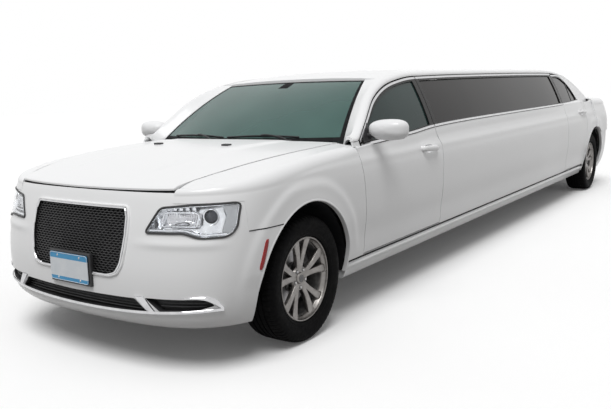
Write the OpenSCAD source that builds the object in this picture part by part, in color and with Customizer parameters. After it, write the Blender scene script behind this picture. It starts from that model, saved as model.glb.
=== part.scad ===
// Stretch limousine: a four-door saloon lengthened between its front and rear doors.
// X runs forward, Y to the car's left and Z up; the origin is on the ground under the middle of
// the overall length. Angles of the joints are zero with everything shut and the wheels straight.

/* [Body] */
// Distance between the axles
wheelbase = 6608; // [6000:1:7600]
// Front axle to the foremost point
front_overhang = 900; // [860:1:940]
// Rear axle to the rearmost point
rear_overhang = 1092; // [1040:1:1150]
// Body width without mirrors
body_w = 1902; // [1800:1:2000]
// Height of the roof's crown
body_h = 1524; // [1512:1:1560]

/* [Panels] */
// Gap around doors, hood and trunk lid
gap = 7; // [5:0.5:9]
// Thickness of the doors and of the side walls below the windows
wall = 125; // [100:1:140]
// Thickness of window frames, pillars and the roof
frame_t = 32; // [26:1:40]
// Thickness of fenders, bumper covers, hood and trunk lid
skin = 14; // [8:1:18]
// Thickness of the window glass
glass_t = 5; // [4:0.5:8]

/* [Wheels] */
// Outer diameter of the tyres
tyre_d = 710; // [640:1:740]
// Section width of the tyres
tyre_w = 235; // [195:1:245]
// Diameter across the rim flange
rim_d = 474; // [420:1:520]
// Distance between the left and right wheel centres
track = 1611; // [1580:1:1640]
// Radius of the wheel arches
arch_r = 445; // [430:1:460]
// Diameter of the spindles that the wheels turn on
spindle_d = 44; // [36:1:56]

/* [Cabin] */
// Height of the cabin floor's upper face
floor_top = 326; // [300:1:345]
// Height of the seat cushions' upper face
seat_h = 590; // [540:5:640]

/* [Hidden] */
$fn = 64;

paint = "white";
steel = [0.45, 0.46, 0.48];
silver = [0.7, 0.71, 0.73];
dark = [0.1, 0.1, 0.11];
leather = [0.16, 0.15, 0.15];
tint = [0.25, 0.25, 0.26, 0.6];
green_tint = [0.35, 0.45, 0.42, 0.5];

// ---- stations along the car ----
nose_x = (wheelbase + front_overhang + rear_overhang) / 2;
tail_x = -nose_x;
fa = nose_x - front_overhang;          // front axle
ra = tail_x + rear_overhang;           // rear axle
axle_z = tyre_d / 2;
wheel_y = track / 2;
half = body_w / 2;
fit = 0.3;                             // clearance between pieces that lie against each other
seam = 0.6;                            // and between fixed panels
eps = 1;                               // overlap of shapes that are cut or joined

// ---- helpers ----
function seg(k, x, i = 0) = (i >= len(k) - 2 || x < k[i + 1][0]) ? i : seg(k, x, i + 1);
function slope(k, i) =
  let (a = max(i - 1, 0), b = min(i + 1, len(k) - 1)) (k[b][1] - k[a][1]) / (k[b][0] - k[a][0]);
// A smooth curve through the points k = [[x, y], ...] with rising x, held level past its ends
function curve(k, x) =
  let (
    c = min(max(x, k[0][0]), k[len(k) - 1][0]),
    i = seg(k, c),
    h = k[i + 1][0] - k[i][0],
    t = (c - k[i][0]) / h,
    m0 = slope(k, i) * h,
    m1 = slope(k, i + 1) * h
  )
  (2 * t * t * t - 3 * t * t + 1) * k[i][1] + (t * t * t - 2 * t * t + t) * m0
  + (3 * t * t - 2 * t * t * t) * k[i + 1][1] + (t * t * t - t * t) * m1;
function lerp(a, b, t) = a + (b - a) * t;
function steps(a, b, n) = [for (i = [0:n]) lerp(a, b, i / n)];
function unit(v) = v / max(norm(v), 0.000001);
// Stations that all panels along the side share, so that their edges follow the same chords
stations = concat(steps(ra - 120, ra + 1240, 17), steps(ra + 1400, fa - 1900, 10), steps(fa - 1800, fa - 600, 15));
function between_x(x0, x1) = concat([x0], [for (x = stations) if (x > x0 + 8 && x < x1 - 8) x], [x1]);

// ---- the body's surfaces ----
// How far the side lies in from the full half width, against height
tuck = [[170, 96], [250, 68], [345, 36], [430, 20], [600, 4], [770, 0], [890, 6], [950, 20],
        [1030, 44], [1110, 70], [1180, 98]];
// How far the nose and the tail lie in on the centreline, against height
nose_in = [[230, 90], [300, 34], [380, 22], [500, 24], [620, 42], [740, 70], [833, 98], [912, 128],
           [1000, 180]];
tail_in = [[230, 80], [330, 22], [450, 2], [560, 2], [740, 30], [900, 44], [1020, 56], [1110, 74]];
nose_d = 700;          // length over which the nose rounds in plan
nose_n = 4.5;          // how square that rounding is
nose_bow = 100;        // how far the bumper sweeps back before its corners
tail_d = 560;
tail_n = 4.2;
tail_bow = 70;

function half_w(z) = half - curve(tuck, z);
function nose_at(z) = nose_x - curve(nose_in, z);
function tail_at(z) = tail_x + curve(tail_in, z);
// A share t of the half width lies this far behind the nose
function sweep(t, d, n, bow) = bow * t * t + d * (1 - pow(max(1 - pow(t, n), 0), 1 / n));
// The share of the half width that lies s behind the nose
function sweep_share(s, d, n, bow, lo = 0, hi = 1, k = 16) =
  k == 0 ? hi
  : let (m = (lo + hi) / 2)
    sweep(m, d, n, bow) < s ? sweep_share(s, d, n, bow, m, hi, k - 1)
                            : sweep_share(s, d, n, bow, lo, m, k - 1);
function nose_pt(t, z) =
  [nose_at(z) - sweep(abs(t), nose_d, nose_n, nose_bow), half_w(z) * t, z];
function tail_pt(t, z) =
  [tail_at(z) + sweep(abs(t), tail_d, tail_n, tail_bow), half_w(z) * t, z];
// Shares of the half width from t0 to t1, crowded where the corner turns
function shares(t0, t1, n) =
  [for (i = [0:n]) let (q = lerp(t0, t1, i / n)) sign(q) * (1 - pow(1 - abs(q), 2.2))];
// The inward direction in plan at a share t of the half width, for the left side
function plan_in(t, d, n, bow) =
  let (w = half - 10, u = min(t, 0.9999), rise = 2 * bow * u + d * pow(u, n - 1) * pow(1 - pow(u, n), 1 / n - 1))
  unit([w, -rise, 0]);
// The side at any x: where it stands, as [share, inward direction], measured at the height side_ref
side_ref = 850;
function stand(x) = x > 0
  ? let (t = sweep_share(nose_at(side_ref) - x, nose_d, nose_n, nose_bow), v = plan_in(t, nose_d, nose_n, nose_bow))
    [t, [-v[0], v[1], 0]]
  : let (t = sweep_share(x - tail_at(side_ref), tail_d, tail_n, tail_bow)) [t, plan_in(t, tail_d, tail_n, tail_bow)];
function side_pt(x, z, s) = s[0] > 0.9999 ? [x, half_w(z), z] : x > 0 ? nose_pt(s[0], z) : tail_pt(s[0], z);
// Half width at any x and z: the straight side, rounding in at the nose and the tail
function side_y(x, z) =
  half_w(z) * (x > 0 ? sweep_share(nose_at(z) - x, nose_d, nose_n, nose_bow)
                     : sweep_share(x - tail_at(z), tail_d, tail_n, tail_bow));

// Heights of the hood and of the trunk lid on the centreline
hood_key = [[fa - 620, 1086], [fa - 480, 1082], [fa - 109, 1066], [fa + 200, 1040], [fa + 450, 1006],
            [fa + 640, 968], [fa + 790, 924]];
trunk_key = [[tail_x + 66, 1112], [tail_x + 200, 1138], [tail_x + 450, 1158], [tail_x + 900, 1172],
             [ra + 100, 1180], [ra + 300, 1180]];
hood_edge_key = [[fa - 640, 772], [fa - 100, 752], [fa + 400, 690], [fa + 740, 596]];
trunk_edge_key = [[tail_x + 60, 660], [tail_x + 300, 700], [tail_x + 900, 720]];
drop = 32;             // how far they fall from the centreline to drop_y
drop_y = 820;
shoulder_key = [[tail_x + 60, 30], [tail_x + 400, 62], [ra, 74], [fa + 250, 74], [fa + 760, 30]];
function lid_z(x) = curve(x > 0 ? hood_key : trunk_key, x);
function lid_edge(x) = curve(x > 0 ? hood_edge_key : trunk_edge_key, x);
function top_z(x, y) = lid_z(x) - drop * pow(abs(y) / drop_y, 3);
function shoulder_r(x) = curve(shoulder_key, x);
function shoulder_z(x, s) = top_z(x, half_w(side_ref) * s[0] - shoulder_r(x)) - shoulder_r(x);
// Up the side from z0 (q from 0 to 1), round the shoulder (to 2) and in past the lid's edge (to 3)
function flank_pt(x, z0, q, s) =
  let (
    r = shoulder_r(x),
    zs = shoulder_z(x, s),
    a = (min(q, 2) - 1) * 90,
    foot = side_pt(x, zs, s),
    crest = foot + r * s[1] + [0, 0, r],
    r0 = crest + max(crest[1] - lid_edge(crest[0]) + 12, 50) * s[1],
    rim = [r0[0], r0[1], top_z(r0[0], r0[1])]
  )
  q <= 1 ? side_pt(x, lerp(z0, zs, q), s)
  : q <= 2 ? foot + r * (1 - cos(a)) * s[1] + [0, 0, r * sin(a)]
  : lerp(crest, rim, q - 2);

// The windows' lower line, and the line where the doors' frames meet the roof
belt_key = [[ra + 400, 1140], [ra + 1200, 1126], [fa - 2600, 1112], [fa - 1760, 1098], [fa - 1400, 1076],
            [fa - 600, 1042]];
rail_key = [[ra - 120, 1150], [ra + 60, 1218], [ra + 240, 1290], [ra + 420, 1348], [ra + 640, 1402],
            [ra + 1000, 1446], [ra + 1400, 1463], [fa - 3100, 1463], [fa - 1750, 1450], [fa - 1500, 1432],
            [fa - 1227, 1388], [fa - 998, 1306], [fa - 820, 1190], [fa - 640, 1060]];
// The upper edge of the rear doors' frames, which falls to the quarter windows' tips
rear_top_key = [[ra + 440, 1130], [ra + 520, 1190], [ra + 620, 1290], [ra + 720, 1364], [ra + 850, 1418],
                [ra + 960, 1448]];
function belt(x) = curve(belt_key, x);
function rail(x) = curve(rail_key, x);
lean = 0.44;           // how far the side glass leans in for each unit of height
bulge = 10;            // and how far it bows out between the belt and the rail
glass_foot = 1085;     // height at which the glass's surface leaves the body side
taper_key = [[ra - 160, 62], [ra + 300, 38], [ra + 1000, 12], [ra + 1800, 0], [fa - 1300, 0], [fa - 600, 10]];
function upper_y(x, z) =
  let (h = z - glass_foot) half - 59 - lean * h + bulge * (1 - pow(h / 180 - 1, 2)) - curve(taper_key, x);
// The roof rail rounds from the side glass up to the roof's edge
band_w = 52;
band_key = [[ra - 120, 14], [ra + 300, 26], [ra + 700, 34]];
function band_pt(x, q) =
  let (z = rail(x) + gap) [x, upper_y(x, z) - band_w * (1 - cos(90 * q)), z + curve(band_key, x) * sin(90 * q)];
roof_key = [[ra + 560, 1446], [ra + 900, 1480], [ra + 1500, body_h - 5], [ra + 2300, body_h],
            [fa - 2300, body_h], [fa - 1800, body_h - 6], [fa - 1500, 1494], [fa - 1240, 1460]];
ditch = 3;             // the roof's edge lies this far below the roof rail
function roof_half(x) = band_pt(x, 1)[1] - seam;
function roof_z(x, y) =
  let (c = curve(roof_key, x), r = band_pt(x, 1)[2] - ditch) c - (c - r) * pow(min(abs(y) / roof_half(x), 1), 2.4);
lid_nose = fa + 692;   // where the hood's and the trunk lid's side edges end
lid_tail = tail_x + 84;

// Door lines, as x against height
front_door_a = [[380, fa - 632], [600, fa - 628], [850, fa - 604], [940, fa - 590], [1100, fa - 580]];
front_door_b = [[380, fa - 1800], [760, fa - 1799], [900, fa - 1806], [960, fa - 1804], [1026, fa - 1776],
                [1054, fa - 1766], [1450, fa - 1766]];
rear_door_a = [[380, ra + 1250], [1450, ra + 1250]];
rear_door_b = [[380, ra + 500], [460, ra + 490], [640, ra + 450], [760, ra + 392], [850, ra + 376],
               [960, ra + 412], [1130, ra + 440]];
door_z = 392;          // lower edge of the doors
sill_z = 368;          // top of the sill moulding
sill_low = 252;
frame_w = 30;          // width of the window frames seen from the side
arch_z = axle_z - 3;   // centres of the wheel arches
front_arch_x = fa + 16;
hinge_in = 26;         // hinge axes lie this far behind the doors' front edges

// ---- solids from grids of points ----
function last(v) = len(v) - 1;
function grid_normal(g, i, j) =
  unit(cross(g[min(i + 1, last(g))][j] - g[max(i - 1, 0)][j],
             g[i][min(j + 1, last(g[i]))] - g[i][max(j - 1, 0)]));
// A closed sheet of thickness t on the grid g, the thickness going against the grid's normal
module sheet(g, t) {
  inner = [for (i = [0:last(g)]) [for (j = [0:last(g[i])]) g[i][j] - t * grid_normal(g, i, j)]];
  between(g, inner, t > 0);
}
// A closed sheet whose thickness goes by the vector v
module slab(g, v, turn = true) between(g, [for (r = g) [for (p = r) p + v]], turn);
// A closed solid from the grid g in to the plane y = inner
module to_plane(g, inner) between(g, [for (r = g) [for (p = r) [p[0], inner, p[2]]]], true);
// A closed solid between two grids of the same size; turn says which way the first one winds
module between(g, h, turn) {
  n = len(g);
  m = len(g[0]);
  o = n * m;
  function face(a, b, c) = turn ? [a, c, b] : [a, b, c];
  function quad(a, b, c, d) = [face(a, b, c), face(a, c, d)];
  faces = concat(
    [for (i = [0:n - 2]) for (j = [0:m - 2]) each
      quad(i * m + j, (i + 1) * m + j, (i + 1) * m + j + 1, i * m + j + 1)],
    [for (i = [0:n - 2]) for (j = [0:m - 2]) each
      quad(o + i * m + j, o + i * m + j + 1, o + (i + 1) * m + j + 1, o + (i + 1) * m + j)],
    [for (i = [0:n - 2]) each quad(i * m, o + i * m, o + (i + 1) * m, (i + 1) * m)],
    [for (i = [0:n - 2]) each
      quad(i * m + m - 1, (i + 1) * m + m - 1, o + (i + 1) * m + m - 1, o + i * m + m - 1)],
    [for (j = [0:m - 2]) each quad(j, j + 1, o + j + 1, o + j)],
    [for (j = [0:m - 2]) each
      quad((n - 1) * m + j, o + (n - 1) * m + j, o + (n - 1) * m + j + 1, (n - 1) * m + j + 1)]
  );
  polyhedron(concat([for (r = g) each r], [for (r = h) each r]), faces, convexity = 6);
}
module both() {
  children();
  mirror([0, 1, 0]) children();
}
module on_side(left) {
  if (left) children();
  else mirror([0, 1, 0]) children();
}
// A box from low to high corner
module block(a, b) translate(a) cube(b - a);
// A prism along Y from the outline p in x and z, on the left side
module side_cut(p) translate([0, half + 200, 0]) rotate([90, 0, 0]) linear_extrude(800) polygon(p);
// A prism along X from the outline p in y and z
module nose_cut(p) translate([fa + 380, 0, 0]) rotate([90, 0, 90]) linear_extrude(800) polygon(p);
// The opening of the hood or the trunk lid, from z up, with its side edges between x0 and x1
module lid_cut(x0, x1, x_end, z) translate([0, 0, z]) linear_extrude(400) polygon(concat(
  [for (x = steps(x0, x1, 10)) [x, lid_edge(x) + gap]],
  x_end > x1 ? [[x_end, lid_edge(x1) + gap], [x_end, 0], [x0, 0]] : [[x1, 0], [x_end, 0], [x_end, lid_edge(x0) + gap]]));
module arch_cut(x) translate([x, half + 50, arch_z]) rotate([90, 0, 0]) cylinder(h = 500, r = arch_r, $fn = 96);

inner_y = half - wall; // inner face of the doors and the side walls
// A wall of the body side between two door lines, up to the windows' lower line; its rear end
// slants by bevel, so that a door's rear edge swings clear of what is behind it
module side_wall(xb, xa, z0, nx, bevel = 0) {
  function x_at(u, z) = lerp(curve(xb, z), curve(xa, z), u);
  function z_at(u, v) = lerp(z0, belt(x_at(u, 1000)) - 20, v);
  rows = [0, 0.12, 0.25, 0.4, 0.55, 0.7, 0.8, 0.9, 1];
  cols = steps(0, 1, nx);
  between([for (v = rows) [for (u = cols) let (z = z_at(u, v), x = x_at(u, z)) [x, side_y(x, z), z]]],
          [for (v = rows) [for (u = cols) let (z = z_at(u, v)) [x_at(u, z) + bevel * (1 - u), inner_y, z]]], true);
}
function moved(k, d) = [for (p = k) [p[0], p[1] + d]];
function top_of_door(x, rear) = rear ? min(curve(rear_top_key, x), rail(x)) : rail(x);
// The frame around a window: a band of the upper side, its rear and upper edges slanted by bevel
module window_frame(x0, x1, rear, raise = 0, bevel = 0) {
  function frame_pt(x, u, low) = let (z = lerp(belt(x) - 40, top_of_door(x, rear) + raise - low, u)) [x, upper_y(x, z), z];
  xs = between_x(x0, x1);
  between([for (u = [0:0.25:1]) [for (x = xs) frame_pt(x, u, 0)]],
          [for (u = [0:0.25:1]) [for (x = xs)
            frame_pt(lerp(x0 + bevel, x1, (x - x0) / (x1 - x0)), u, bevel) - [0, frame_t, 0]]], true);
}
function window_line(x0, x1, rear) = let (xs = between_x(x0, x1)) concat(
  [for (x = xs) [x, belt(x) + 4]],
  [for (i = [last(xs):-1:0]) [xs[i], max(top_of_door(xs[i], rear) - frame_w, belt(xs[i]) + 6)]]
);
glass_in = 10;         // the glass lies this far inside the frame's outer face
glass_gap = 0.8;       // and this far from the frame all round, where its seal is
module glass_sheet(x0, x1, rear) {
  slab([for (u = steps(0, 1, 4))
         [for (x = between_x(x0 + glass_gap, x1 - glass_gap))
           let (z = lerp(belt(x) + 4 + glass_gap, max(top_of_door(x, rear) - frame_w - glass_gap, belt(x) + 12), u))
           [x, upper_y(x, z) - glass_in, z]]], [0, -glass_t, 0]);
}

// ---- underbody ----
floor_t = 30;
floor_y = half - 134;  // half the width of the floor
rail_y = 400;          // inner side of the chassis rails
rail_w = 80;
rail_low = floor_top - 110;
firewall_x = fa - 452;
bulkhead_x = ra + 300;
boot_z = 560;          // height of the boot floor's upper face
boot_y = 620;
shelf_z = 1100;        // parcel shelf
beam_z = 440;          // lower face of the rear rails
module floor_pan() color(steel) {
  seat_x = ra + 470;
  block([seat_x, -floor_y, floor_top - floor_t], [firewall_x, floor_y, floor_top]);
  block([firewall_x - skin, -floor_y, floor_top - floor_t], [firewall_x, floor_y, 900]);
  block([firewall_x - skin, -200, 900 - eps], [firewall_x, 200, 1039]);
  both() {
    block([ra - 240, 560, shelf_z - skin], [ra - 120 + eps, boot_y, shelf_z]);
    block([ra - 240, 560, shelf_z - eps], [ra - 205, boot_y, top_z(ra - 240, boot_y) - skin - 2 * fit]);
  }
  block([bulkhead_x, -boot_y, floor_top - floor_t], [seat_x + eps, boot_y, floor_top]);
  block([bulkhead_x - skin, -boot_y, floor_top - floor_t], [bulkhead_x, boot_y, shelf_z]);
  block([ra - 120, -boot_y, shelf_z - skin], [bulkhead_x, boot_y, shelf_z]);
  block([tail_x + 150, -boot_y, boot_z - floor_t], [bulkhead_x, boot_y, boot_z]);
  both() {
    block([tail_x + 120, rail_y, beam_z], [bulkhead_x - skin, rail_y + rail_w, boot_z - floor_t + eps]);
    block([bulkhead_x - 100, rail_y, rail_low], [fa - 300, rail_y + rail_w, floor_top - floor_t + eps]);
    block([bulkhead_x - 100, rail_y, rail_low], [bulkhead_x, rail_y + rail_w, beam_z + eps]);
    block([fa - 330, rail_y, rail_low], [fa - 330 + rail_w, rail_y + rail_w, 560]);
    block([fa - 330, rail_y, 460], [nose_x - 220, rail_y + rail_w, 560]);
  }
  block([nose_x - 220 - eps, -boot_y, 450], [nose_x - 190, boot_y, 570]);
  block([tail_x + 100, -boot_y, beam_z], [tail_x + 130, boot_y, 560]);
}

module sills() color(paint) both() difference() {
  to_plane([for (z = steps(sill_low, sill_z, 4)) [for (x = steps(ra + 452, fa - 438, 20)) [x, side_y(x, z) - 2, z]]],
           floor_y + fit);
  arch_cut(ra);
  arch_cut(front_arch_x);
}

// ---- body sides ----
side_win = [70, 50];   // width of the posts behind and ahead of the long side windows
module side_panels() color(paint) both() {
  x0 = ra + 1250 + gap;
  x1 = fa - 1766 - gap;
  side_wall(moved(rear_door_a, gap), moved(front_door_b, -gap), sill_z + fit, 8);
  difference() {
    window_frame(x0 + eps, x1, false, gap - seam);
    side_cut(window_line(x0 + side_win[0], x1 - side_win[1], false));
  }
}

bumper_top = 712;
lamp_z0 = 790;         // the tail lamps' lower and upper edges
lamp_z1 = 1010;
lid_y = half - 301;    // half the width of the trunk lid's rear face
lamp_y = lid_y + 12;   // and the lamps' inner ends
lamp_x = tail_x + 236; // and their front ends
up_side = [0, 0.15, 0.3, 0.45, 0.6, 0.8, 1, 1.33, 1.66, 2, 2.5, 3];
// The rear roof post, which slants under the roof rail where low isn't 0
function post_pt(x, u, low) =
  let (z = lerp(x < ra + 430 ? 1098 : top_of_door(x, true) + gap, rail(x) + gap - seam - low, u))
  [x, upper_y(x, z), z];
post_x = between_x(ra - 84, ra + 930);
module rear_quarters() color(paint) both() {
  difference() {
    union() {
      sheet([for (x = concat([tail_at(side_ref) + 60, tail_at(side_ref) + 94], steps(tail_x + 200, tail_x + 600, 6),
                             steps(tail_x + 720, ra - 60, 6)))
              let (s = stand(x)) [for (q = up_side) flank_pt(x, bumper_top + seam, q, s)]], -skin);
      sheet([for (x = steps(ra - 80, ra + 340, 5))
              [for (z = steps(sill_z + fit, 1112, 9)) [x, side_y(x, z), z]]], -skin);
      to_plane([for (z = steps(sill_z + fit, 1112, 10))
                 [for (x = [ra + 330, (ra + 330 + curve(rear_door_b, z) - gap) / 2, curve(rear_door_b, z) - gap])
                   [x, side_y(x, z), z]]], inner_y);
    }
    arch_cut(ra);
    block([tail_x - 50, 0, 0], [ra - 350, half + 100, bumper_top + seam]);
    lid_cut(lid_tail, ra - 60, tail_x - 50, lamp_z1);
    block([tail_x - 50, 0, lamp_z0 - gap], [lamp_x + gap, half + 100, lamp_z1 + gap]);
    block([tail_x - 50, 0, 0], [lid_tail + 60, lid_y + gap, lamp_z0]);
  }
  between([for (u = steps(0, 1, 4)) [for (x = post_x) post_pt(x, u, 0)]],
          [for (u = steps(0, 1, 4)) [for (x = post_x) post_pt(x, u, 26) - [0, frame_t, 0]]], true);
}

// The roof rails run from the foot of the windscreen pillars to the foot of the rear pillars
rail_t = 26;
screen_top_x = fa - 1290;
rear_top_x = ra + 590;
// A strip of roof rail from x0 to x1; side 1 reaches on to the windscreen, -1 to the rear window
module rail_strip(x0, x1, side = 0) {
  function edge(x) = side > 0 ? screen_pt(1, (fa - 640 - x) / (fa - 640 - screen_top_x))
                              : rear_pt(1, (x - ra + 100) / (rear_top_x - ra + 100));
  outer = [for (x = between_x(x0, x1)) concat([for (q = steps(0, 1, 4)) band_pt(x, q)],
             side == 0 ? [] : [for (k = [0.5, 1]) lerp(band_pt(x, 1), edge(x) + [0, seam, 3], k)])];
  inner = [for (r = outer) [for (j = [0:last(r)]) let (s = min(j / 4, 1)) r[j] - [0, rail_t * (1 - s), rail_t * s]]];
  between(outer, inner, false);
}
module pillars() color(paint) both() {
  rail_strip(screen_top_x, fa - 640, 1);
  rail_strip(rear_top_x + seam, screen_top_x - seam);
  rail_strip(ra - 89, rear_top_x, -1);
  // Hinge pillars, with a leaf on the door side at two heights and a rest under the hood's corners
  block([fa - 560, inner_y - 60, sill_z + fit], [fa - 472, inner_y + 44, 1000]);
  for (z = [520, 900])
    block([curve(front_door_a, z + 40) + fit, inner_y + 6, z], [fa - 560 + eps, inner_y + 30, z + 40]);
  block([fa - 512, 690, 960], [fa - 474, inner_y - 60 + eps, 1000]);
  block([fa - 512, 690, 1000 - eps], [fa - 474, 750, top_z(fa - 474, 750) - skin - fit]);
  // The rear doors' hinge leaves, on the end of the side panels
  for (z = [520, 900]) block([ra + 1250 + fit, inner_y + 6, z], [ra + 1250 + gap - fit, inner_y + 30, z + 40]);
}

module roof() color(paint) slab(
  [for (x = between_x(rear_top_x, screen_top_x))
    [for (t = [-1, -0.94, -0.82, -0.6, -0.3, 0, 0.3, 0.6, 0.82, 0.94, 1])
      let (y = roof_half(x) * t, bow = x < screen_top_x ? 0 : 28 * max(1 - pow(y / 590, 2), 0) - seam)
        [x + bow, y, roof_z(x + bow, y)]]],
  [0, 0, -rail_t]);

// ---- windscreen and rear window ----
// t runs across from -1 to 1, u up from 0 to 1
function screen_pt(t, u) =
  let (w = lerp(768, 590, u), x = lerp(fa - 455 - 215 * t * t, fa - 1262 - 26 * t * t, u))
  [x + 24 * 4 * u * (1 - u) * 0.6, w * t, lerp(1060, 1448 - 10 * t * t, u) + 24 * 4 * u * (1 - u)];
function rear_pt(t, u) =
  let (w = lerp(690, 560, u), x = lerp(ra - 130 + 40 * t * t, ra + 570 + 10 * t * t, u))
  [x - 10 * 4 * u * (1 - u), w * t, lerp(1166, 1436 - 12 * t * t, u) + 24 * 4 * u * (1 - u)];
module windscreen() color(green_tint)
  sheet([for (u = steps(0, 0.985, 6)) [for (t = steps(-1, 1, 10)) screen_pt(t, u)]], -glass_t);
module rear_window() color(tint)
  sheet([for (u = steps(0, 1, 6)) [for (t = steps(-1, 1, 10)) rear_pt(t, u)]], glass_t);
module side_windows() color(tint) both()
  glass_sheet(ra + 1250 + gap + side_win[0], fa - 1766 - gap - side_win[1], false);
module cowl() color(dark)
  sheet([for (u = steps(0, 1, 3)) [for (t = steps(-1, 1, 8))
    lerp(screen_pt(t * 0.99, 0) + [-4, 0, -glass_t - 2 * fit], [hood_rear(760 * t) - gap, 760 * t, 1044 - 10 * t * t], u)]], 10);

// ---- front end ----
front_top = 912;       // upper edge of the bumper cover below the hood
function hood_front(y) = nose_pt(abs(y) / half_w(front_top), front_top)[0] - gap;
function hood_rear(y) = fa - 395 - 190 * pow(y / 760, 2);
module hood() color(paint) slab(
  [for (u = steps(0, 1, 12)) [for (t = steps(-1, 1, 12))
    let (xc = lerp(hood_front(0), hood_rear(0), u), xe = lerp(lid_nose, fa - 590, u),
         y = t * (lid_edge(xe) - 1.5), x = lerp(hood_front(y), hood_rear(y), u))
    [x, y, top_z(x, y)]]], [0, 0, -skin], false);

seam_x = fa + 512;     // where the bumper cover, the fender and the headlamp meet
nose_seam = 716;       // upper edge of the bumper cover behind the headlamp
lamp_top = 864;        // lower edge of the fender above the headlamp
module front_fenders() color(paint) both() difference() {
  sheet([for (x = concat(steps(fa - 640, fa + 240, 9), steps(fa + 320, lid_nose + 56, 9)))
          let (s = stand(x)) [for (q = up_side) flank_pt(x, x < fa ? sill_z + fit : nose_seam + seam, q, s)]], -skin);
  arch_cut(front_arch_x);
  side_cut(concat([for (z = steps(300, 1100, 8)) [curve(front_door_a, z) + gap, z]], [[fa - 900, 1100], [fa - 900, 300]]));
  block([seam_x - seam, 0, 600], [nose_x, half + 50, lamp_top]);
  block([fa - 900, 0, 1046], [fa - 590, half + 50, 1200]);
  lid_cut(fa - 700, lid_nose, nose_x, lamp_top);
  block([fa + 300, 0, 600], [nose_x, half + 50, nose_seam + seam]);
}
lamp_line = [[470, 716], [560, 694], [700, 690], [880, 736], [872, 860], [720, 862], [556, 846]];
grille_half = [[280, 497], [318, 511], [345, 545], [361, 600], [370, 690], [366, 780], [350, 833]];
grille_line = concat(grille_half, [for (i = [last(grille_half):-1:0]) [-grille_half[i][0], grille_half[i][1]]]);
intake_line = [[505, 322], [520, 336], [438, 390], [-438, 390], [-520, 336], [-505, 322]];
module front_bumper() color(paint) difference() {
  sheet([for (z = concat(steps(232, 460, 5), steps(540, front_top, 6))) [for (t = shares(-1, 1, 34)) nose_pt(t, z)]], -skin);
  both() {
    block([0, 0, nose_seam], [seam_x, half + 50, 1000]);
    block([seam_x - eps, lid_edge(lid_nose) + gap - seam, lamp_top - seam], [nose_x, half + 50, 1000]);
    nose_cut(lamp_line);
    arch_cut(front_arch_x);
  }
  nose_cut(grille_line);
  nose_cut(intake_line);
}
module headlamps() color(silver) both() intersection() {
  sheet([for (z = steps(684, 870, 3)) [for (t = steps(0.4, 0.97, 12)) nose_pt(t, z) - [fit, 0, 0]]], -70);
  nose_cut([for (p = lamp_line) lerp(p, [690, 780], 0.003)]);
}
module grille() color(dark) intersection() {
  sheet([for (z = steps(480, 850, 4)) [for (t = steps(-0.4, 0.4, 8)) nose_pt(t, z) - [8, 0, 0]]], -22);
  nose_cut([for (p = grille_line) lerp(p, [0, 660], 0.0015)]);
}

// ---- rear end ----
pipe_y = 560;          // the tail pipes leave through the rear bumper cover
pipe_z = 268;
pipe_r = 34;
module rear_bumper() color(paint) difference() {
  sheet([for (z = steps(232, bumper_top, 7)) [for (t = shares(-1, 1, 30)) tail_pt(t, z)]], skin);
  both() {
    arch_cut(ra);
    translate([tail_x - 50, pipe_y, pipe_z]) rotate([0, 90, 0]) cylinder(h = 300, r = pipe_r + 8, $fn = 48);
  }
  block([tail_x + 742, -half - 50, 0], [0, half + 50, 900]);
}
module tail_lamps() color("darkred") both() intersection() {
  sheet([for (z = steps(lamp_z0 - 40, lamp_z1 + 40, 5)) [for (t = steps(0.66, 0.975, 12)) tail_pt(t, z)]], 60);
  block([tail_x - 50, lamp_y, lamp_z0 - gap + fit], [lamp_x + gap - fit, half + 50, lamp_z1 + gap - fit]);
}
function trunk_pt(t, k) =
  let (x = lerp(ra - 142, lid_tail, k), z = lerp(1104, bumper_top + gap, k - 1), y = lid_edge(x) * t)
  k <= 1 ? [x, y, top_z(x, y)]
         : [tail_at(z) + sweep(lid_y * abs(t) / half, tail_d, tail_n, tail_bow) - 2, lid_y * t, z];
module trunk_lid() color(paint) sheet(
  [for (k = concat(steps(0, 1, 8), steps(1.04, 2, 5))) [for (t = steps(-1, 1, 10)) trunk_pt(t, k)]], -skin);

// ---- doors ----
module front_door(left) color(paint) on_side(left) {
  side_wall(front_door_b, front_door_a, door_z, 5, 24);
  difference() {
    window_frame(fa - 1766, fa - 655, false, 0, 9);
    side_cut(window_line(fa - 1766 + 62, fa - 800, false));
  }
}
module front_glass(left) color(green_tint) on_side(left)
  glass_sheet(fa - 1766 + 62, fa - 800, false);
module rear_door(left) color(paint) on_side(left) {
  side_wall(rear_door_b, rear_door_a, door_z, 5, 34);
  difference() {
    window_frame(ra + 450, ra + 1250, true, 0, 20);
    side_cut(window_line(ra + 540, ra + 1250 - 44, true));
  }
}
module rear_glass(left) color(tint) on_side(left)
  glass_sheet(ra + 540, ra + 1250 - 44, true);
mirror_x = fa - 772;
mirror_z = 1132;
module door_mirror(left) color(paint) on_side(left) {
  translate([mirror_x, half + 62, mirror_z]) scale([0.5, 1, 0.56]) sphere(r = 106, $fn = 32);
  foot_z = [1072, 1112];
  between([for (z = foot_z) [for (x = [mirror_x - 34, mirror_x + 34]) [x, half - 6, z]]],
          [for (z = foot_z) [for (x = [mirror_x - 40, mirror_x + 40]) [x, upper_y(x, z) + fit, z]]], true);
}

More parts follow.
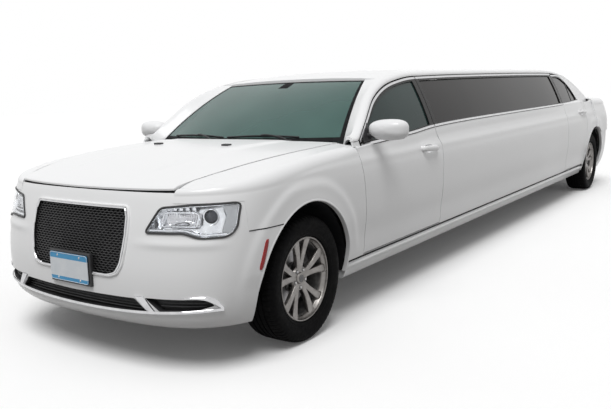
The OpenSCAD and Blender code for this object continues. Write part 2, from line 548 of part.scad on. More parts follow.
// ---- wheels and what carries them ----
king_y = wheel_y - 75;   // the steering axis
king_r = 13;
run = 0.05;              // radial clearance of pins and spindles
hub_r = 70;
module tyre(x, left) color(dark) on_side(left) translate([x, wheel_y, axle_z]) rotate([-90, 0, 0])
  rotate_extrude($fn = 96) tyre_section();
module tyre_section() {
  r0 = rim_d / 2 + fit;
  r1 = axle_z;
  w = tyre_w / 2;
  polygon([[r0, -w + 22], [r0 + 20, -w + 6], [(r0 + r1) / 2, -w], [r1 - 28, -w + 10], [r1 - 6, -w + 26], [r1, -w + 50],
           [r1, w - 50], [r1 - 6, w - 26], [r1 - 28, w - 10], [(r0 + r1) / 2, w], [r0 + 20, w - 6], [r0, w - 22]]);
}
spokes = 5;
module rim(x, left) color(silver) on_side(left) translate([x, wheel_y, axle_z]) rotate([-90, 0, 0]) {
  w = tyre_w / 2 - 22;
  r = rim_d / 2;
  difference() {
    union() {
      rotate_extrude($fn = 96)
        polygon([[r, -w], [r, w], [r - 12, w], [r - 22, w - 18], [r - 30, 0], [r - 40, -w + 16], [r - 12, -w]]);
      translate([0, 0, w - 70]) cylinder(h = 48, r = hub_r);
      for (i = [0:spokes - 1]) for (s = [-1, 1]) rotate([0, 0, 90 + i * 360 / spokes + s * 12])
        translate([hub_r - 12, -11, w - 54]) cube([r - hub_r - 4, 22, 34]);
    }
    translate([0, 0, -w - eps]) cylinder(h = 2 * w + 2 * eps, r = spindle_d / 2 + run);
    for (i = [0:4]) rotate([0, 0, 54 + i * 72]) translate([57, 0, 0]) cylinder(h = w, r = 8, $fn = 24);
  }
}
hub_face = tyre_w / 2 - 22 - 70;          // the rim's inner hub face, out from the wheel's centre
module knuckle(left) color(steel) on_side(left) {
  translate([fa, king_y, axle_z - 80]) difference() {
    cylinder(h = 160, r = 30);
    translate([0, 0, -eps]) cylinder(h = 160 + 2 * eps, r = king_r + run);
  }
  difference() {
    translate([fa, wheel_y + hub_face + 44, axle_z]) rotate([90, 0, 0])
      cylinder(h = 44 + hub_face + wheel_y - king_y, r = spindle_d / 2);
    translate([fa, king_y, 0]) cylinder(h = 2 * axle_z, r = 22);
  }
  translate([fa, wheel_y + hub_face - fit, axle_z]) rotate([90, 0, 0]) difference() {
    cylinder(h = 20, r = 60);
    cylinder(h = 60, r = spindle_d / 2 - 2, center = true);
  }
}
arm_t = 24;
beam_top = 300;        // upper face of the front cross member
module front_suspension() color(steel) {
  block([fa - 90, -rail_y - rail_w, beam_top - 80], [fa + 90, rail_y + rail_w, beam_top]);
  both() {
    block([fa - 60, rail_y, beam_top - eps], [fa + 60, rail_y + rail_w - fit, 460 - fit]);
    for (z = [axle_z - 80 - arm_t - fit, axle_z + 80 + fit])
      block([fa - 28, rail_y + 20, z], [fa + 28, king_y + 30, z + arm_t]);
    translate([fa, king_y, axle_z - 80 - arm_t]) cylinder(h = 160 + 2 * arm_t, r = king_r);
  }
}
shaft_z = 235;
module driveline() color(steel) {
  block([ra - 110, -150, shaft_z - 60], [ra + 150, 150, beam_z - fit]);
  block([ra - 60, -rail_y - rail_w, axle_z + 40], [ra + 60, rail_y + rail_w, beam_z - fit]);
  both() {
    translate([ra, wheel_y + hub_face + 44, axle_z]) rotate([90, 0, 0])
      cylinder(h = wheel_y + hub_face + 44 - 140, r = spindle_d / 2);
    translate([ra, wheel_y + hub_face - fit, axle_z]) rotate([90, 0, 0]) cylinder(h = 20, r = 60);
    block([ra - 40, rail_y + 20, axle_z - 60], [ra + 40, wheel_y + hub_face - 30, axle_z + 60]);
  }
  translate([ra + 140, 0, shaft_z]) rotate([0, 90, 0]) cylinder(h = fa - ra - 540, r = 40);
  for (x = steps(ra + 1800, fa - 1400, 2)) block([x, -60, shaft_z - 50], [x + 50, 60, floor_top - floor_t - fit]);
}
module engine() color(steel) block([fa - 360, -300, beam_top + fit], [fa + 380, 300, 860]);
exhaust_y = 300;
exhaust_z = 250;
silencer_x = tail_x + 300;
module exhaust() color(silver) {
  translate([silencer_x + 100, exhaust_y, exhaust_z]) rotate([0, 90, 0])
    cylinder(h = fa - 420 - silencer_x - 100, r = 30);
  block([silencer_x, -pipe_y - 40, 214], [silencer_x + 220, pipe_y + 40, 340]);
  both() translate([tail_x + 60, pipe_y, pipe_z]) rotate([0, 90, 0])
    cylinder(h = silencer_x - tail_x - 60 + eps, r = pipe_r);
  for (x = steps(ra + 900, fa - 900, 4))
    block([x, exhaust_y - 10, exhaust_z], [x + 20, exhaust_y + 10, floor_top - floor_t - fit]);
}
module fuel_tank() color(dark) block([ra + 330, -390, 180], [ra + 900, -110, floor_top - floor_t - fit]);

// ---- cabin ----
module seat(x, y, w, d) {
  block([x - d, y - w / 2, floor_top + fit], [x, y + w / 2, seat_h]);
  block([x - d - 160, y - w / 2, floor_top + fit], [x - d, y + w / 2, seat_h + 560]);
}
wheel_at = [fa - 900, 380, 930];       // centre of the steering wheel
column_tilt = 65;
module on_column() translate(wheel_at) rotate([0, -column_tilt, 0]) children();
dash_y = 685;
module dashboard() color(dark) {
  block([firewall_x - 330, -dash_y, 700], [firewall_x - skin - fit, dash_y, 980]);
  block([firewall_x - 300, -120, floor_top + fit], [firewall_x - skin - fit, 120, 700 + eps]);
  on_column() translate([0, 0, -190]) cylinder(h = 160 - fit, r = 32);
}
module steering_wheel() color(dark) on_column() {
  rotate_extrude($fn = 48) translate([175, 0]) circle(r = 15, $fn = 24);
  translate([0, 0, -30]) cylinder(h = 40, r = 60);
  for (a = [0, 180, 270]) rotate([0, 0, a]) translate([40, -16, -10]) cube([130, 32, 14]);
}
module front_seats() color(leather) both() seat(fa - 1080, 380, 520, 500);
divider_x = fa - 1960;
module partition() color(dark) {
  y = inner_y - 16;
  translate([divider_x, 0, 0]) rotate([90, 0, 90]) linear_extrude(60)
    polygon([[-y, floor_top + fit], [y, floor_top + fit], [y, 1060], [y - 120, 1400], [120 - y, 1400], [-y, 1060]]);
}
module lounge_seats() color(leather) {
  seat(ra + 1010, 0, 1300, 520);
  y = 15 - inner_y;
  block([ra + 1300, y, floor_top + fit], [divider_x - 60, y + 520, seat_h]);
  block([ra + 1300, y, seat_h - eps], [divider_x - 60, y + 130, 1040]);
}

// ---- number plate ----
plate_z = 430;
plate_w = 304;
plate_h = 152;
plate_hole = 7;        // its four screw holes
plate_pitch = [178, 121];
module licence_plate() color(silver) difference() {
  block([nose_at(plate_z) + fit, -plate_w / 2, plate_z], [nose_x, plate_w / 2, plate_z + plate_h]);
  for (y = [-1, 1]) for (z = [-1, 1])
    translate([nose_x - 60, y * plate_pitch[0] / 2, plate_z + (plate_h + z * plate_pitch[1]) / 2])
      rotate([0, 90, 0]) cylinder(h = 80, r = plate_hole / 2, $fn = 24);
}

floor_pan();
sills();
side_panels();
rear_quarters();
pillars();
roof();
front_fenders();
front_bumper();
rear_bumper();
grille();
headlamps();
tail_lamps();
cowl();
windscreen();
rear_window();
side_windows();
licence_plate();
engine();
exhaust();
fuel_tank();
front_suspension();
driveline();
dashboard();
front_seats();
partition();
lounge_seats();
hood();
trunk_lid();
front_door(true);  // left_front_door
front_door(false);  // right_front_door
rear_door(true);  // left_rear_door
rear_door(false);  // right_rear_door
front_glass(true);  // left_front_glass
front_glass(false);  // right_front_glass
rear_glass(true);  // left_rear_glass
rear_glass(false);  // right_rear_glass
door_mirror(true);  // left_mirror
door_mirror(false);  // right_mirror
knuckle(true);  // left_knuckle
knuckle(false);  // right_knuckle
tyre(fa, true);  // front_left_tyre
tyre(fa, false);  // front_right_tyre
tyre(ra, true);  // rear_left_tyre
tyre(ra, false);  // rear_right_tyre
rim(fa, true);  // front_left_rim
rim(fa, false);  // front_right_rim
rim(ra, true);  // rear_left_rim
rim(ra, false);  // rear_right_rim
steering_wheel();
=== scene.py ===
import math

import bmesh
import bpy
import numpy as np
from mathutils import Matrix, Vector


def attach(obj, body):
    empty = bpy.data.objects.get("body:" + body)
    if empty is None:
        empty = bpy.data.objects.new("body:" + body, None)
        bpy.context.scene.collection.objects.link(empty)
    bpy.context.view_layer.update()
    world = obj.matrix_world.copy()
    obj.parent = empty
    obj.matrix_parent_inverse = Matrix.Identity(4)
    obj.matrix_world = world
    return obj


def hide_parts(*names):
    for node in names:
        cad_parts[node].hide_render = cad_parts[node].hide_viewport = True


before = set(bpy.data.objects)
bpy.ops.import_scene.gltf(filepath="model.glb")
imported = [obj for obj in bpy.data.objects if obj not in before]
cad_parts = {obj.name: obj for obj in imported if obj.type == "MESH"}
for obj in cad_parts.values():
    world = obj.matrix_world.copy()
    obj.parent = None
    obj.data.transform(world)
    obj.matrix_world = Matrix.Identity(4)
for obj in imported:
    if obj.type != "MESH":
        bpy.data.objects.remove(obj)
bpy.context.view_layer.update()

scene = bpy.context.scene

# ---------------------------------------------------------------- sizes, in millimetres
# The same driving values as the part's source.
HALF, HEIGHT = 951.0, 1524.0
NOSE, TAIL = 4300.0, -4300.0
FA, RA = 3400.0, -3208.0
GAP, FIT, SEAM = 7.0, 0.3, 0.6
WALL, FRAME_T, SKIN, GLASS_T = 125.0, 32.0, 14.0, 5.0
AXLE_Z, WHEEL_Y = 355.0, 805.5
ARCH_R, ARCH_Z = 445.0, 352.0
FRONT_ARCH_X = FA + 16
INNER_Y = HALF - WALL
FRONT_POST, REAR_POST = FA - 1766, RA + 1250  # the doors' upright edges, beside the long windows
DRIVER_Y = 380.0
STEER_AT = np.array([FA - 900, DRIVER_Y, 930.0])
STEER_AXIS = np.array([-0.906308, 0, 0.422618])  # 25 degrees above level
FRONT_HANDLE, REAR_HANDLE = (FA - 1575, 946), (RA + 560, 999)
MIRROR_AT = (FA - 790, HALF + 58, 1124.0)
PIPE_Y, PIPE_Z = 560, 268  # the tail pipes
GLASS_FOOT, GLASS_IN, GLASS_LEAN = 1085, 59, 0.44
HINGE_HEIGHTS, STEER_R, CUSHION_R = (520, 900), 175, 46.0
SPOKE_PAIRS, BOLT_RING, TREAD_STEPS = 5, 51, 72
PLATE_HALF_W, PLATE_LOW, PLATE_HIGH = 152, 430, 582
PLATE_MID, SCREW_Y, SCREW_Z = (PLATE_LOW + PLATE_HIGH) / 2, 89, 60.5
SEAT_FOOT, SEAT_LOW, SEAT_TOP = 327, 430, 586


# ---------------------------------------------------------------- the body's surfaces
def curve(key, x):
    """A smooth curve through the points of key, held level past its ends."""
    k = np.asarray(key, float)
    x = np.clip(np.asarray(x, float), k[0, 0], k[-1, 0])
    i = np.clip(np.searchsorted(k[:, 0], x, side="right") - 1, 0, len(k) - 2)
    a = np.maximum(np.arange(len(k)) - 1, 0)
    b = np.minimum(np.arange(len(k)) + 1, len(k) - 1)
    s = (k[b, 1] - k[a, 1]) / (k[b, 0] - k[a, 0])
    h = k[i + 1, 0] - k[i, 0]
    t = (x - k[i, 0]) / h
    return (
        (2 * t**3 - 3 * t**2 + 1) * k[i, 1]
        + (t**3 - 2 * t**2 + t) * s[i] * h
        + (3 * t**2 - 2 * t**3) * k[i + 1, 1]
        + (t**3 - t**2) * s[i + 1] * h
    )


def at(base, rows):
    return [[base + x, z] for x, z in rows]


TUCK = [[170, 96], [250, 68], [345, 36], [430, 20], [600, 4], [770, 0], [890, 6], [950, 20],
        [1030, 44], [1110, 70], [1180, 98]]
NOSE_IN = [[230, 90], [300, 34], [380, 22], [500, 24], [620, 42], [740, 70], [833, 98], [912, 128],
           [1000, 180]]
TAIL_IN = [[230, 80], [330, 22], [450, 2], [560, 2], [740, 30], [900, 44], [1020, 56], [1110, 74]]
ROUND = {1: (700.0, 4.5, 100.0), -1: (560.0, 4.2, 70.0)}
SIDE_REF = 850.0
HOOD = at(FA, [[-620, 1086], [-480, 1082], [-109, 1066], [200, 1040], [450, 1006], [640, 968], [790, 924]])
TRUNK = at(TAIL, [[66, 1112], [200, 1138], [450, 1158], [900, 1172], [1192, 1180], [1392, 1180]])
HOOD_EDGE = at(FA, [[-640, 772], [-100, 752], [400, 690], [740, 596]])
TRUNK_EDGE = at(TAIL, [[60, 660], [300, 700], [900, 720]])
SHOULDER = [[TAIL + 60, 30], [TAIL + 400, 62], [RA, 74], [FA + 250, 74], [FA + 760, 30]]
BELT = [[RA + 400, 1140], [RA + 1200, 1126], [FA - 2600, 1112], [FA - 1760, 1098], [FA - 1400, 1076],
        [FA - 600, 1042]]
RAIL = [[RA - 120, 1150], [RA + 60, 1218], [RA + 240, 1290], [RA + 420, 1348], [RA + 640, 1402],
        [RA + 1000, 1446], [RA + 1400, 1463], [FA - 3100, 1463], [FA - 1750, 1450], [FA - 1500, 1432],
        [FA - 1227, 1388], [FA - 998, 1306], [FA - 820, 1190], [FA - 640, 1060]]
REAR_TOP = at(RA, [[440, 1130], [520, 1190], [620, 1290], [720, 1364], [850, 1418], [960, 1448]])
TAPER = [[RA - 160, 62], [RA + 300, 38], [RA + 1000, 12], [RA + 1800, 0], [FA - 1300, 0], [FA - 600, 10]]
BAND = at(RA, [[-120, 14], [300, 26], [700, 34]])
ROOF = [[RA + 560, 1446], [RA + 900, 1480], [RA + 1500, HEIGHT - 5], [RA + 2300, HEIGHT],
        [FA - 2300, HEIGHT], [FA - 1800, HEIGHT - 6], [FA - 1500, 1494], [FA - 1240, 1460]]
FRONT_DOOR_A = [[380, FA - 632], [600, FA - 628], [850, FA - 604], [940, FA - 590], [1100, FA - 580]]
FRONT_DOOR_B = [[380, FA - 1800], [760, FA - 1799], [900, FA - 1806], [960, FA - 1804], [1026, FA - 1776],
                [1054, FRONT_POST], [1450, FRONT_POST]]
REAR_DOOR_A = [[380, REAR_POST], [1450, REAR_POST]]
REAR_DOOR_B = [[380, RA + 500], [460, RA + 490], [640, RA + 450], [760, RA + 392], [850, RA + 376],
               [960, RA + 412], [1130, RA + 440]]
DOOR_Z, SILL_Z, FRAME_W = 377.0, 368.0, 30.0
BUMPER_TOP, LAMP_Z0, LAMP_Z1, LAMP_Y, LAMP_X = 712.0, 790.0, 1010.0, 660.0, TAIL + 236
LID_NOSE, LID_TAIL, LID_Y = FA + 692, TAIL + 84, 650.0
SEAM_X, NOSE_SEAM, LAMP_TOP, FRONT_TOP = FA + 512, 716.0, 864.0, 912.0
SCREEN_TOP_X, REAR_TOP_X, RAIL_T = FA - 1290, RA + 590, 26.0


def half_w(z):
    """Half the body's width at height z."""
    return HALF - curve(TUCK, z)


def sweep(t, end):
    """How far the nose or tail falls back at the share t of the half width."""
    d, n, bow = ROUND[end]
    t = np.abs(t)
    return bow * t * t + d * (1 - np.power(np.maximum(1 - np.power(t, n), 0), 1 / n))


def share(s, end):
    """The share of the half width that lies s behind the nose, or ahead of the tail."""
    s = np.asarray(s, float)
    lo, hi = np.zeros_like(s), np.ones_like(s)
    for _ in range(24):
        m = (lo + hi) / 2
        low = sweep(m, end) < s
        lo, hi = np.where(low, m, lo), np.where(low, hi, m)
    return hi


def nose_at(z):
    """The nose's foremost x at height z."""
    return NOSE - curve(NOSE_IN, z)


def tail_at(z):
    return TAIL + curve(TAIL_IN, z)


def xyz(x, y, z):
    x, y, z = np.broadcast_arrays(x, y, z)
    return np.stack([x, y, z], axis=-1).astype(float)


def nose_pt(t, z):
    return xyz(nose_at(z) - sweep(t, 1), half_w(z) * t, z)


def nose_yz(y, z):
    """The point of the nose's surface at a given y and z."""
    return nose_pt(np.asarray(y) / half_w(z), z)


def tail_pt(t, z):
    return xyz(tail_at(z) + sweep(t, -1), half_w(z) * t, z)


def side_y(x, z):
    """The plain side's y, before creases and arches."""
    x, z = np.broadcast_arrays(np.asarray(x, float), np.asarray(z, float))
    front = share(np.maximum(nose_at(z) - x, 0), 1)
    back = share(np.maximum(x - tail_at(z), 0), -1)
    return half_w(z) * np.where(x > 0, front, back)


def flare(x, z):
    """The wheel arches swell out a little round their edges."""
    out = 0.0
    for cx in (FRONT_ARCH_X, RA):
        r = np.hypot(np.asarray(x) - cx, np.asarray(z) - ARCH_Z)
        brow = 0.5 - 0.5 * np.tanh((r - ARCH_R - 112) / 17)
        out = out + brow * (11 + 4 * np.exp(-(((r - ARCH_R) / 30) ** 2)))
    return out * np.clip((940 - np.asarray(z)) / 70, 0, 1) * np.clip((np.asarray(z) - 330) / 160, 0.35, 1)


def crease(x, z):
    """The side's long crease below the windows, and the hollow above the sill."""
    line = 957 + 0.0035 * (1200 - np.asarray(x))
    above = 5 * np.exp(-(((z - line) / 26) ** 2))
    hollow = -7 * np.exp(-(((z - 500) / 90) ** 2))
    return above + hollow


def crease_fade(x):
    """The crease runs out towards the nose and the tail."""
    x = np.asarray(x)
    return np.clip((x - (TAIL + 700)) / 500, 0, 1) * np.clip((FA + 520 - x) / 500, 0, 1)


def skin_y(x, z):
    """The side's y with its crease and the arches' flare."""
    return side_y(x, z) + flare(x, z) + crease(x, z) * crease_fade(x)


def lid_z(x):
    """The height of the hood's or trunk lid's middle line."""
    return np.where(np.asarray(x) > 0, curve(HOOD, x), curve(TRUNK, x))


def lid_edge(x):
    """Half the width of the hood or the trunk lid."""
    return np.where(np.asarray(x) > 0, curve(HOOD_EDGE, x), curve(TRUNK_EDGE, x))


def top_z(x, y):
    """The height of the body's top, hood and trunk alike."""
    return lid_z(x) - 32 * np.power(np.abs(y) / 820, 3)


def bulges(x, y):
    """The hood's two long creases and the raised middle between them."""
    line = 270 + 0.16 * (FA + 800 - np.asarray(x))
    rise = 0.5 - 0.5 * np.tanh((np.abs(y) - line) / 22)
    ends = np.clip((FA + 760 - np.asarray(x)) / 260, 0, 1) * np.clip((np.asarray(x) - FA + 590) / 200, 0, 1)
    return 9 * rise * ends


def flank(x, z0, q):
    """One station of a fender: up the side (q to 1), round the shoulder (to 2), in to the lid (to 3)."""
    end = 1 if x > 0 else -1
    d, n, bow = ROUND[end]
    s = nose_at(SIDE_REF) - x if x > 0 else x - tail_at(SIDE_REF)
    t = float(share(max(s, 0), end))
    u = min(t, 0.9999)
    rise = 2 * bow * u + d * u ** (n - 1) * (1 - u**n) ** (1 / n - 1)
    w = HALF - 10
    v = np.array([w, -rise, 0.0]) / math.hypot(w, rise)
    if x > 0:
        v[0] = -v[0]
    r = float(curve(SHOULDER, x))
    zs = float(top_z(x, float(half_w(SIDE_REF)) * t - r)) - r

    def wall(z):
        if t > 0.9999:
            fade = max(1 - max(s - bow - 0.845 * d, 0) / 450, 0)
            lean = nose_at(z) - nose_at(SIDE_REF) if x > 0 else tail_at(z) - tail_at(SIDE_REF)
            return xyz(x + lean * fade, half_w(z), z)
        return nose_pt(t, z) if x > 0 else tail_pt(t, z)

    low = wall(z0 + (zs - z0) * np.minimum(q, 1))
    push = flare(low[:, 0], low[:, 2]) + crease(low[:, 0], low[:, 2]) * crease_fade(x)
    low = low - v * push[:, None]
    foot = wall(np.array([zs]))[0]
    a = np.radians((np.clip(q, 1, 2) - 1) * 90)[:, None]
    arc = foot + r * (1 - np.cos(a)) * v + r * np.sin(a) * np.array([0, 0, 1.0])
    edge = foot - v * float(flare(foot[0], zs))
    arc = arc + (edge - foot) * (1 - np.clip(q - 1, 0, 1))[:, None] ** 2
    crest = foot + r * v + [0, 0, r]
    r0 = crest + max(crest[1] - float(lid_edge(crest[0])) + 12, 50) * v
    rim = np.array([r0[0], r0[1], float(top_z(r0[0], r0[1]))])
    flat = crest + (rim - crest) * np.clip(q - 2, 0, 1)[:, None]
    q = q[:, None]
    return np.where(q <= 1, low, np.where(q <= 2, arc, flat))


def belt(x):
    return curve(BELT, x)


def rail(x):
    return curve(RAIL, x)


def upper_y(x, z):
    """The y of the glass and window frames, which lean in above the belt."""
    h = np.asarray(z) - GLASS_FOOT
    return HALF - GLASS_IN - GLASS_LEAN * h + 10 * (1 - (h / 180 - 1) ** 2) - curve(TAPER, x)


def band_pt(x, q):
    """The rail over the windows: q runs from its outer edge (0) up and in to the roof (1)."""
    z = rail(x) + GAP
    a = np.radians(90 * np.asarray(q))
    return xyz(x, upper_y(x, z) - 52 * (1 - np.cos(a)), z + curve(BAND, x) * np.sin(a))


def roof_half(x):
    return band_pt(x, 1)[..., 1] - SEAM


def roof_z(x, y):
    c, r = curve(ROOF, x), band_pt(x, 1)[..., 2] - 3
    return c - (c - r) * np.power(np.minimum(np.abs(y) / roof_half(x), 1), 2.4)


def screen_pt(t, u):
    """The windscreen: t across from -1 to 1, u up from 0 to 1."""
    w = 768 + (590 - 768) * u
    x0, x1 = FA - 455 - 215 * t * t, FA - 1262 - 26 * t * t
    z0, z1 = 1060, 1448 - 10 * t * t
    b = 24 * 4 * u * (1 - u)
    return xyz(x0 + (x1 - x0) * u + b * 0.6, w * t, z0 + (z1 - z0) * u + b)


def rear_pt(t, u):
    """The rear window, in the same terms."""
    w = 690 + (560 - 690) * u
    x0, x1 = RA - 130 + 40 * t * t, RA + 570 + 10 * t * t
    z0, z1 = 1166, 1436 - 12 * t * t
    b = 4 * u * (1 - u)
    return xyz(x0 + (x1 - x0) * u - 10 * b, w * t, z0 + (z1 - z0) * u + 24 * b)


def hood_front(y):
    return nose_yz(np.abs(y), FRONT_TOP)[..., 0] - GAP


def hood_rear(y):
    return FA - 395 - 190 * (np.asarray(y) / 760) ** 2


def door_top(x, rear):
    return np.minimum(curve(REAR_TOP, x), rail(x)) if rear else rail(x)


# ---------------------------------------------------------------- meshes
def grid(f, us, vs):
    """The points f(u, v) over two lists of values."""
    u, v = np.meshgrid(np.asarray(us, float), np.asarray(vs, float), indexing="ij")
    return f(u, v)


def lin(a, b, n):
    """n equal steps from a to b, so n + 1 values."""
    return np.linspace(a, b, n + 1)


def packed(n, power):
    """n steps from -1 to 1, finer towards both ends."""
    t = lin(-1, 1, n)
    return np.sign(t) * (1 - (1 - np.abs(t)) ** power)


def grid_normal(g):
    n = np.cross(np.gradient(g, axis=0), np.gradient(g, axis=1))
    return n / np.maximum(np.linalg.norm(n, axis=-1, keepdims=True), 1e-9)


def shell(g, h, mats=(0, 0, 0)):
    """A closed solid between two grids: outer face, inner face and rim, each with its material."""
    n, m = g.shape[:2]
    o = n * m
    i = np.arange(o).reshape(n, m)
    a, b, c, d = (q.ravel() for q in (i[:-1, :-1], i[1:, :-1], i[1:, 1:], i[:-1, 1:]))
    faces = [np.stack([a, b, c, d], 1), np.stack([a, d, c, b], 1) + o]
    rims = []
    for line in (i[:, 0], i[:, -1][::-1], i[0, :][::-1], i[-1, :]):
        p, q = line[:-1], line[1:]
        rims.append(np.stack([p, p + o, q + o, q], 1))
    rim = np.concatenate(rims)
    f = np.concatenate(faces + [rim])
    k = np.concatenate([np.full(len(a), mats[0]), np.full(len(a), mats[1]), np.full(len(rim), mats[2])])
    return np.concatenate([g.reshape(-1, 3), h.reshape(-1, 3)]), f.tolist(), k.tolist()


def loft(sections):
    """A closed solid through a row of closed sections, capped at both ends."""
    g = np.asarray(sections, float)
    n, m = g.shape[:2]
    faces = []
    for i in range(n - 1):
        for j in range(m):
            q = (j + 1) % m
            faces.append([i * m + j, i * m + q, (i + 1) * m + q, (i + 1) * m + j])
    faces += [list(range(m))[::-1], [(n - 1) * m + j for j in range(m)]]
    return g.reshape(-1, 3), faces, [0] * len(faces)


def sheet(g, t, mats=(0, 0, 0)):
    """A skin of thickness t on the grid g, against its normal."""
    return shell(g, g - t * grid_normal(g), mats)


def tube(path, radius, sides=8, closed=False, mat=0, flat=1.0, up=(0, 0, 1)):
    """A round or flattened tube along a path; radius may be one number or one for each point."""
    p = np.asarray(path, float)
    r = np.broadcast_to(np.asarray(radius, float), (len(p),))
    if closed:
        tan = np.roll(p, -1, 0) - np.roll(p, 1, 0)
    else:
        tan = np.gradient(p, axis=0)
    tan = tan / np.maximum(np.linalg.norm(tan, axis=1, keepdims=True), 1e-9)
    ref = np.asarray(up, float)
    side = np.cross(tan, ref)
    weak = np.linalg.norm(side, axis=1) < 1e-3
    side[weak] = np.cross(tan[weak], [0.3, 1, 0.1])
    side = side / np.linalg.norm(side, axis=1, keepdims=True)
    nor = np.cross(side, tan)
    a = np.linspace(0, 2 * math.pi, sides, endpoint=False)
    ring = side[:, None] * (np.cos(a)[None, :, None] * flat) + nor[:, None] * np.sin(a)[None, :, None]
    v = (p[:, None] + ring * r[:, None, None]).reshape(-1, 3)
    n, faces = len(p), []
    for i in range(n if closed else n - 1):
        j = (i + 1) % n
        for s in range(sides):
            q = (s + 1) % sides
            faces.append([i * sides + s, j * sides + s, j * sides + q, i * sides + q])
    if not closed:
        faces.append(list(range(sides)))
        faces.append([(n - 1) * sides + s for s in range(sides)][::-1])
    return v, faces, [mat] * len(faces)


def lathe(profile, segs, axis_at, mat=0, closed=False, wave=None):
    """Turns a profile of (distance out along Y, radius) round a wheel's axle, a closed ring if asked."""
    c = np.asarray(axis_at, float)
    pr = np.asarray(profile, float)
    a = np.linspace(0, 2 * math.pi, segs, endpoint=False)
    r = np.broadcast_to(pr[:, 1][None, :], (segs, len(pr))).copy()
    if wave is not None:
        r += wave(a[:, None], pr[:, 0][None, :], pr[:, 1][None, :])
    v = np.stack([c[0] + r * np.cos(a)[:, None], c[1] + np.broadcast_to(pr[:, 0], r.shape),
                  c[2] + r * np.sin(a)[:, None]], -1)
    m, faces = len(pr), []
    for i in range(segs):
        j = (i + 1) % segs
        for k in range(m if closed else m - 1):
            q = (k + 1) % m
            faces.append([i * m + k, i * m + q, j * m + q, j * m + k])
    if not closed:
        faces.append([i * m for i in range(segs)])
        faces.append([i * m + m - 1 for i in range(segs)][::-1])
    return v.reshape(-1, 3), faces, [mat] * len(faces)


def prism(points, axis, lo, hi, mat=0):
    """A straight prism: points are (x, z) along Y, (y, z) along X, or (x, y) along Z."""
    p = np.asarray(points, float)
    n = len(p)

    def put(w):
        w = np.full(n, float(w))
        if axis == "y":
            return np.stack([p[:, 0], w, p[:, 1]], 1)
        if axis == "x":
            return np.stack([w, p[:, 0], p[:, 1]], 1)
        return np.stack([p[:, 0], p[:, 1], w], 1)

    faces = [list(range(n)), list(range(2 * n - 1, n - 1, -1))]
    faces += [[i, i + n, (i + 1) % n + n, (i + 1) % n] for i in range(n)]
    return np.concatenate([put(lo), put(hi)]), faces, [mat] * len(faces)


def box(lo, hi, mat=0, bevel=0.0):
    """A box with its edges cut by a narrow bevel."""
    bm = bmesh.new()
    bmesh.ops.create_cube(bm, size=1)
    lo, hi = np.asarray(lo, float), np.asarray(hi, float)
    for v in bm.verts:
        v.co = Vector([lo[i] + (hi[i] - lo[i]) * (v.co[i] + 0.5) for i in range(3)])
    if bevel:
        bmesh.ops.bevel(bm, geom=list(bm.edges), offset=bevel, segments=3, affect="EDGES", profile=0.5)
    v, f, _ = arrays(bm)
    bm.free()
    return v, f, [mat] * len(f)


def arrays(bm):
    bm.verts.index_update()
    v = np.array([w.co[:] for w in bm.verts])
    f = [[w.index for w in g.verts] for g in bm.faces]
    return v, f, [g.material_index for g in bm.faces]


def disc_prism(x, z, r, y0, y1, n=96):
    a = np.linspace(0, 2 * math.pi, n, endpoint=False)
    return prism(np.stack([x + r * np.cos(a), z + r * np.sin(a)], 1), "y", y0, y1)


def join(parts):
    v, f, m, o = [], [], [], 0
    for a, b, c in parts:
        v.append(np.asarray(a, float))
        f += [[int(i) + o for i in g] for g in b]
        m += list(c)
        o += len(a)
    return np.concatenate(v), f, m


def flip(part):
    """The part's mirror image, on the right-hand side."""
    v = np.array(part[0], float)
    v[:, 1] = -v[:, 1]
    return v, [list(g)[::-1] for g in part[1]], list(part[2])


def on_side(part, s):
    return part if s > 0 else flip(part)


def both(part):
    return join([part, flip(part)])


def remat(part, m):
    """The part with material m throughout."""
    return part[0], part[1], [m] * len(part[1])


def raw(part, name="raw"):
    """A Blender object of the part, in metres, with its faces turned outward."""
    me = bpy.data.meshes.new(name)
    me.from_pydata((np.asarray(part[0]) * 0.001).tolist(), [], part[1])
    me.polygons.foreach_set("material_index", np.asarray(part[2], np.int32))
    bm = bmesh.new()
    bm.from_mesh(me)
    bmesh.ops.recalc_face_normals(bm, faces=bm.faces)
    bm.to_mesh(me)
    bm.free()
    ob = bpy.data.objects.new(name, me)
    scene.collection.objects.link(ob)
    return ob


def carve(part, cutters, keep=False):
    """Cuts each cutter from the part, or with keep leaves only what lies in them."""
    ob = raw(part)
    extra = []
    for c in cutters:
        k = raw(c)
        extra.append(k)
        m = ob.modifiers.new("cut", "BOOLEAN")
        m.object, m.solver, m.operation = k, "MANIFOLD", "INTERSECT" if keep else "DIFFERENCE"
    deps = bpy.context.evaluated_depsgraph_get()
    me = bpy.data.meshes.new_from_object(ob.evaluated_get(deps))
    bm = bmesh.new()
    bm.from_mesh(me)
    out = arrays(bm)
    bm.free()
    for o in [ob] + extra:
        bpy.data.objects.remove(o)
    return out[0] * 1000, out[1], out[2]


def place(name, part, body, mats, replaces=(), sharp=34):
    """Makes the piece: its mesh, smooth where it curves, its materials and the body it rides on."""
    ob = raw(part, name)
    for m in mats:
        ob.data.materials.append(m)
    ob.data.polygons.foreach_set("use_smooth", [True] * len(ob.data.polygons))
    ob.data.set_sharp_from_angle(angle=math.radians(sharp))
    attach(ob, body)
    if replaces:
        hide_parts(*replaces)
    return ob


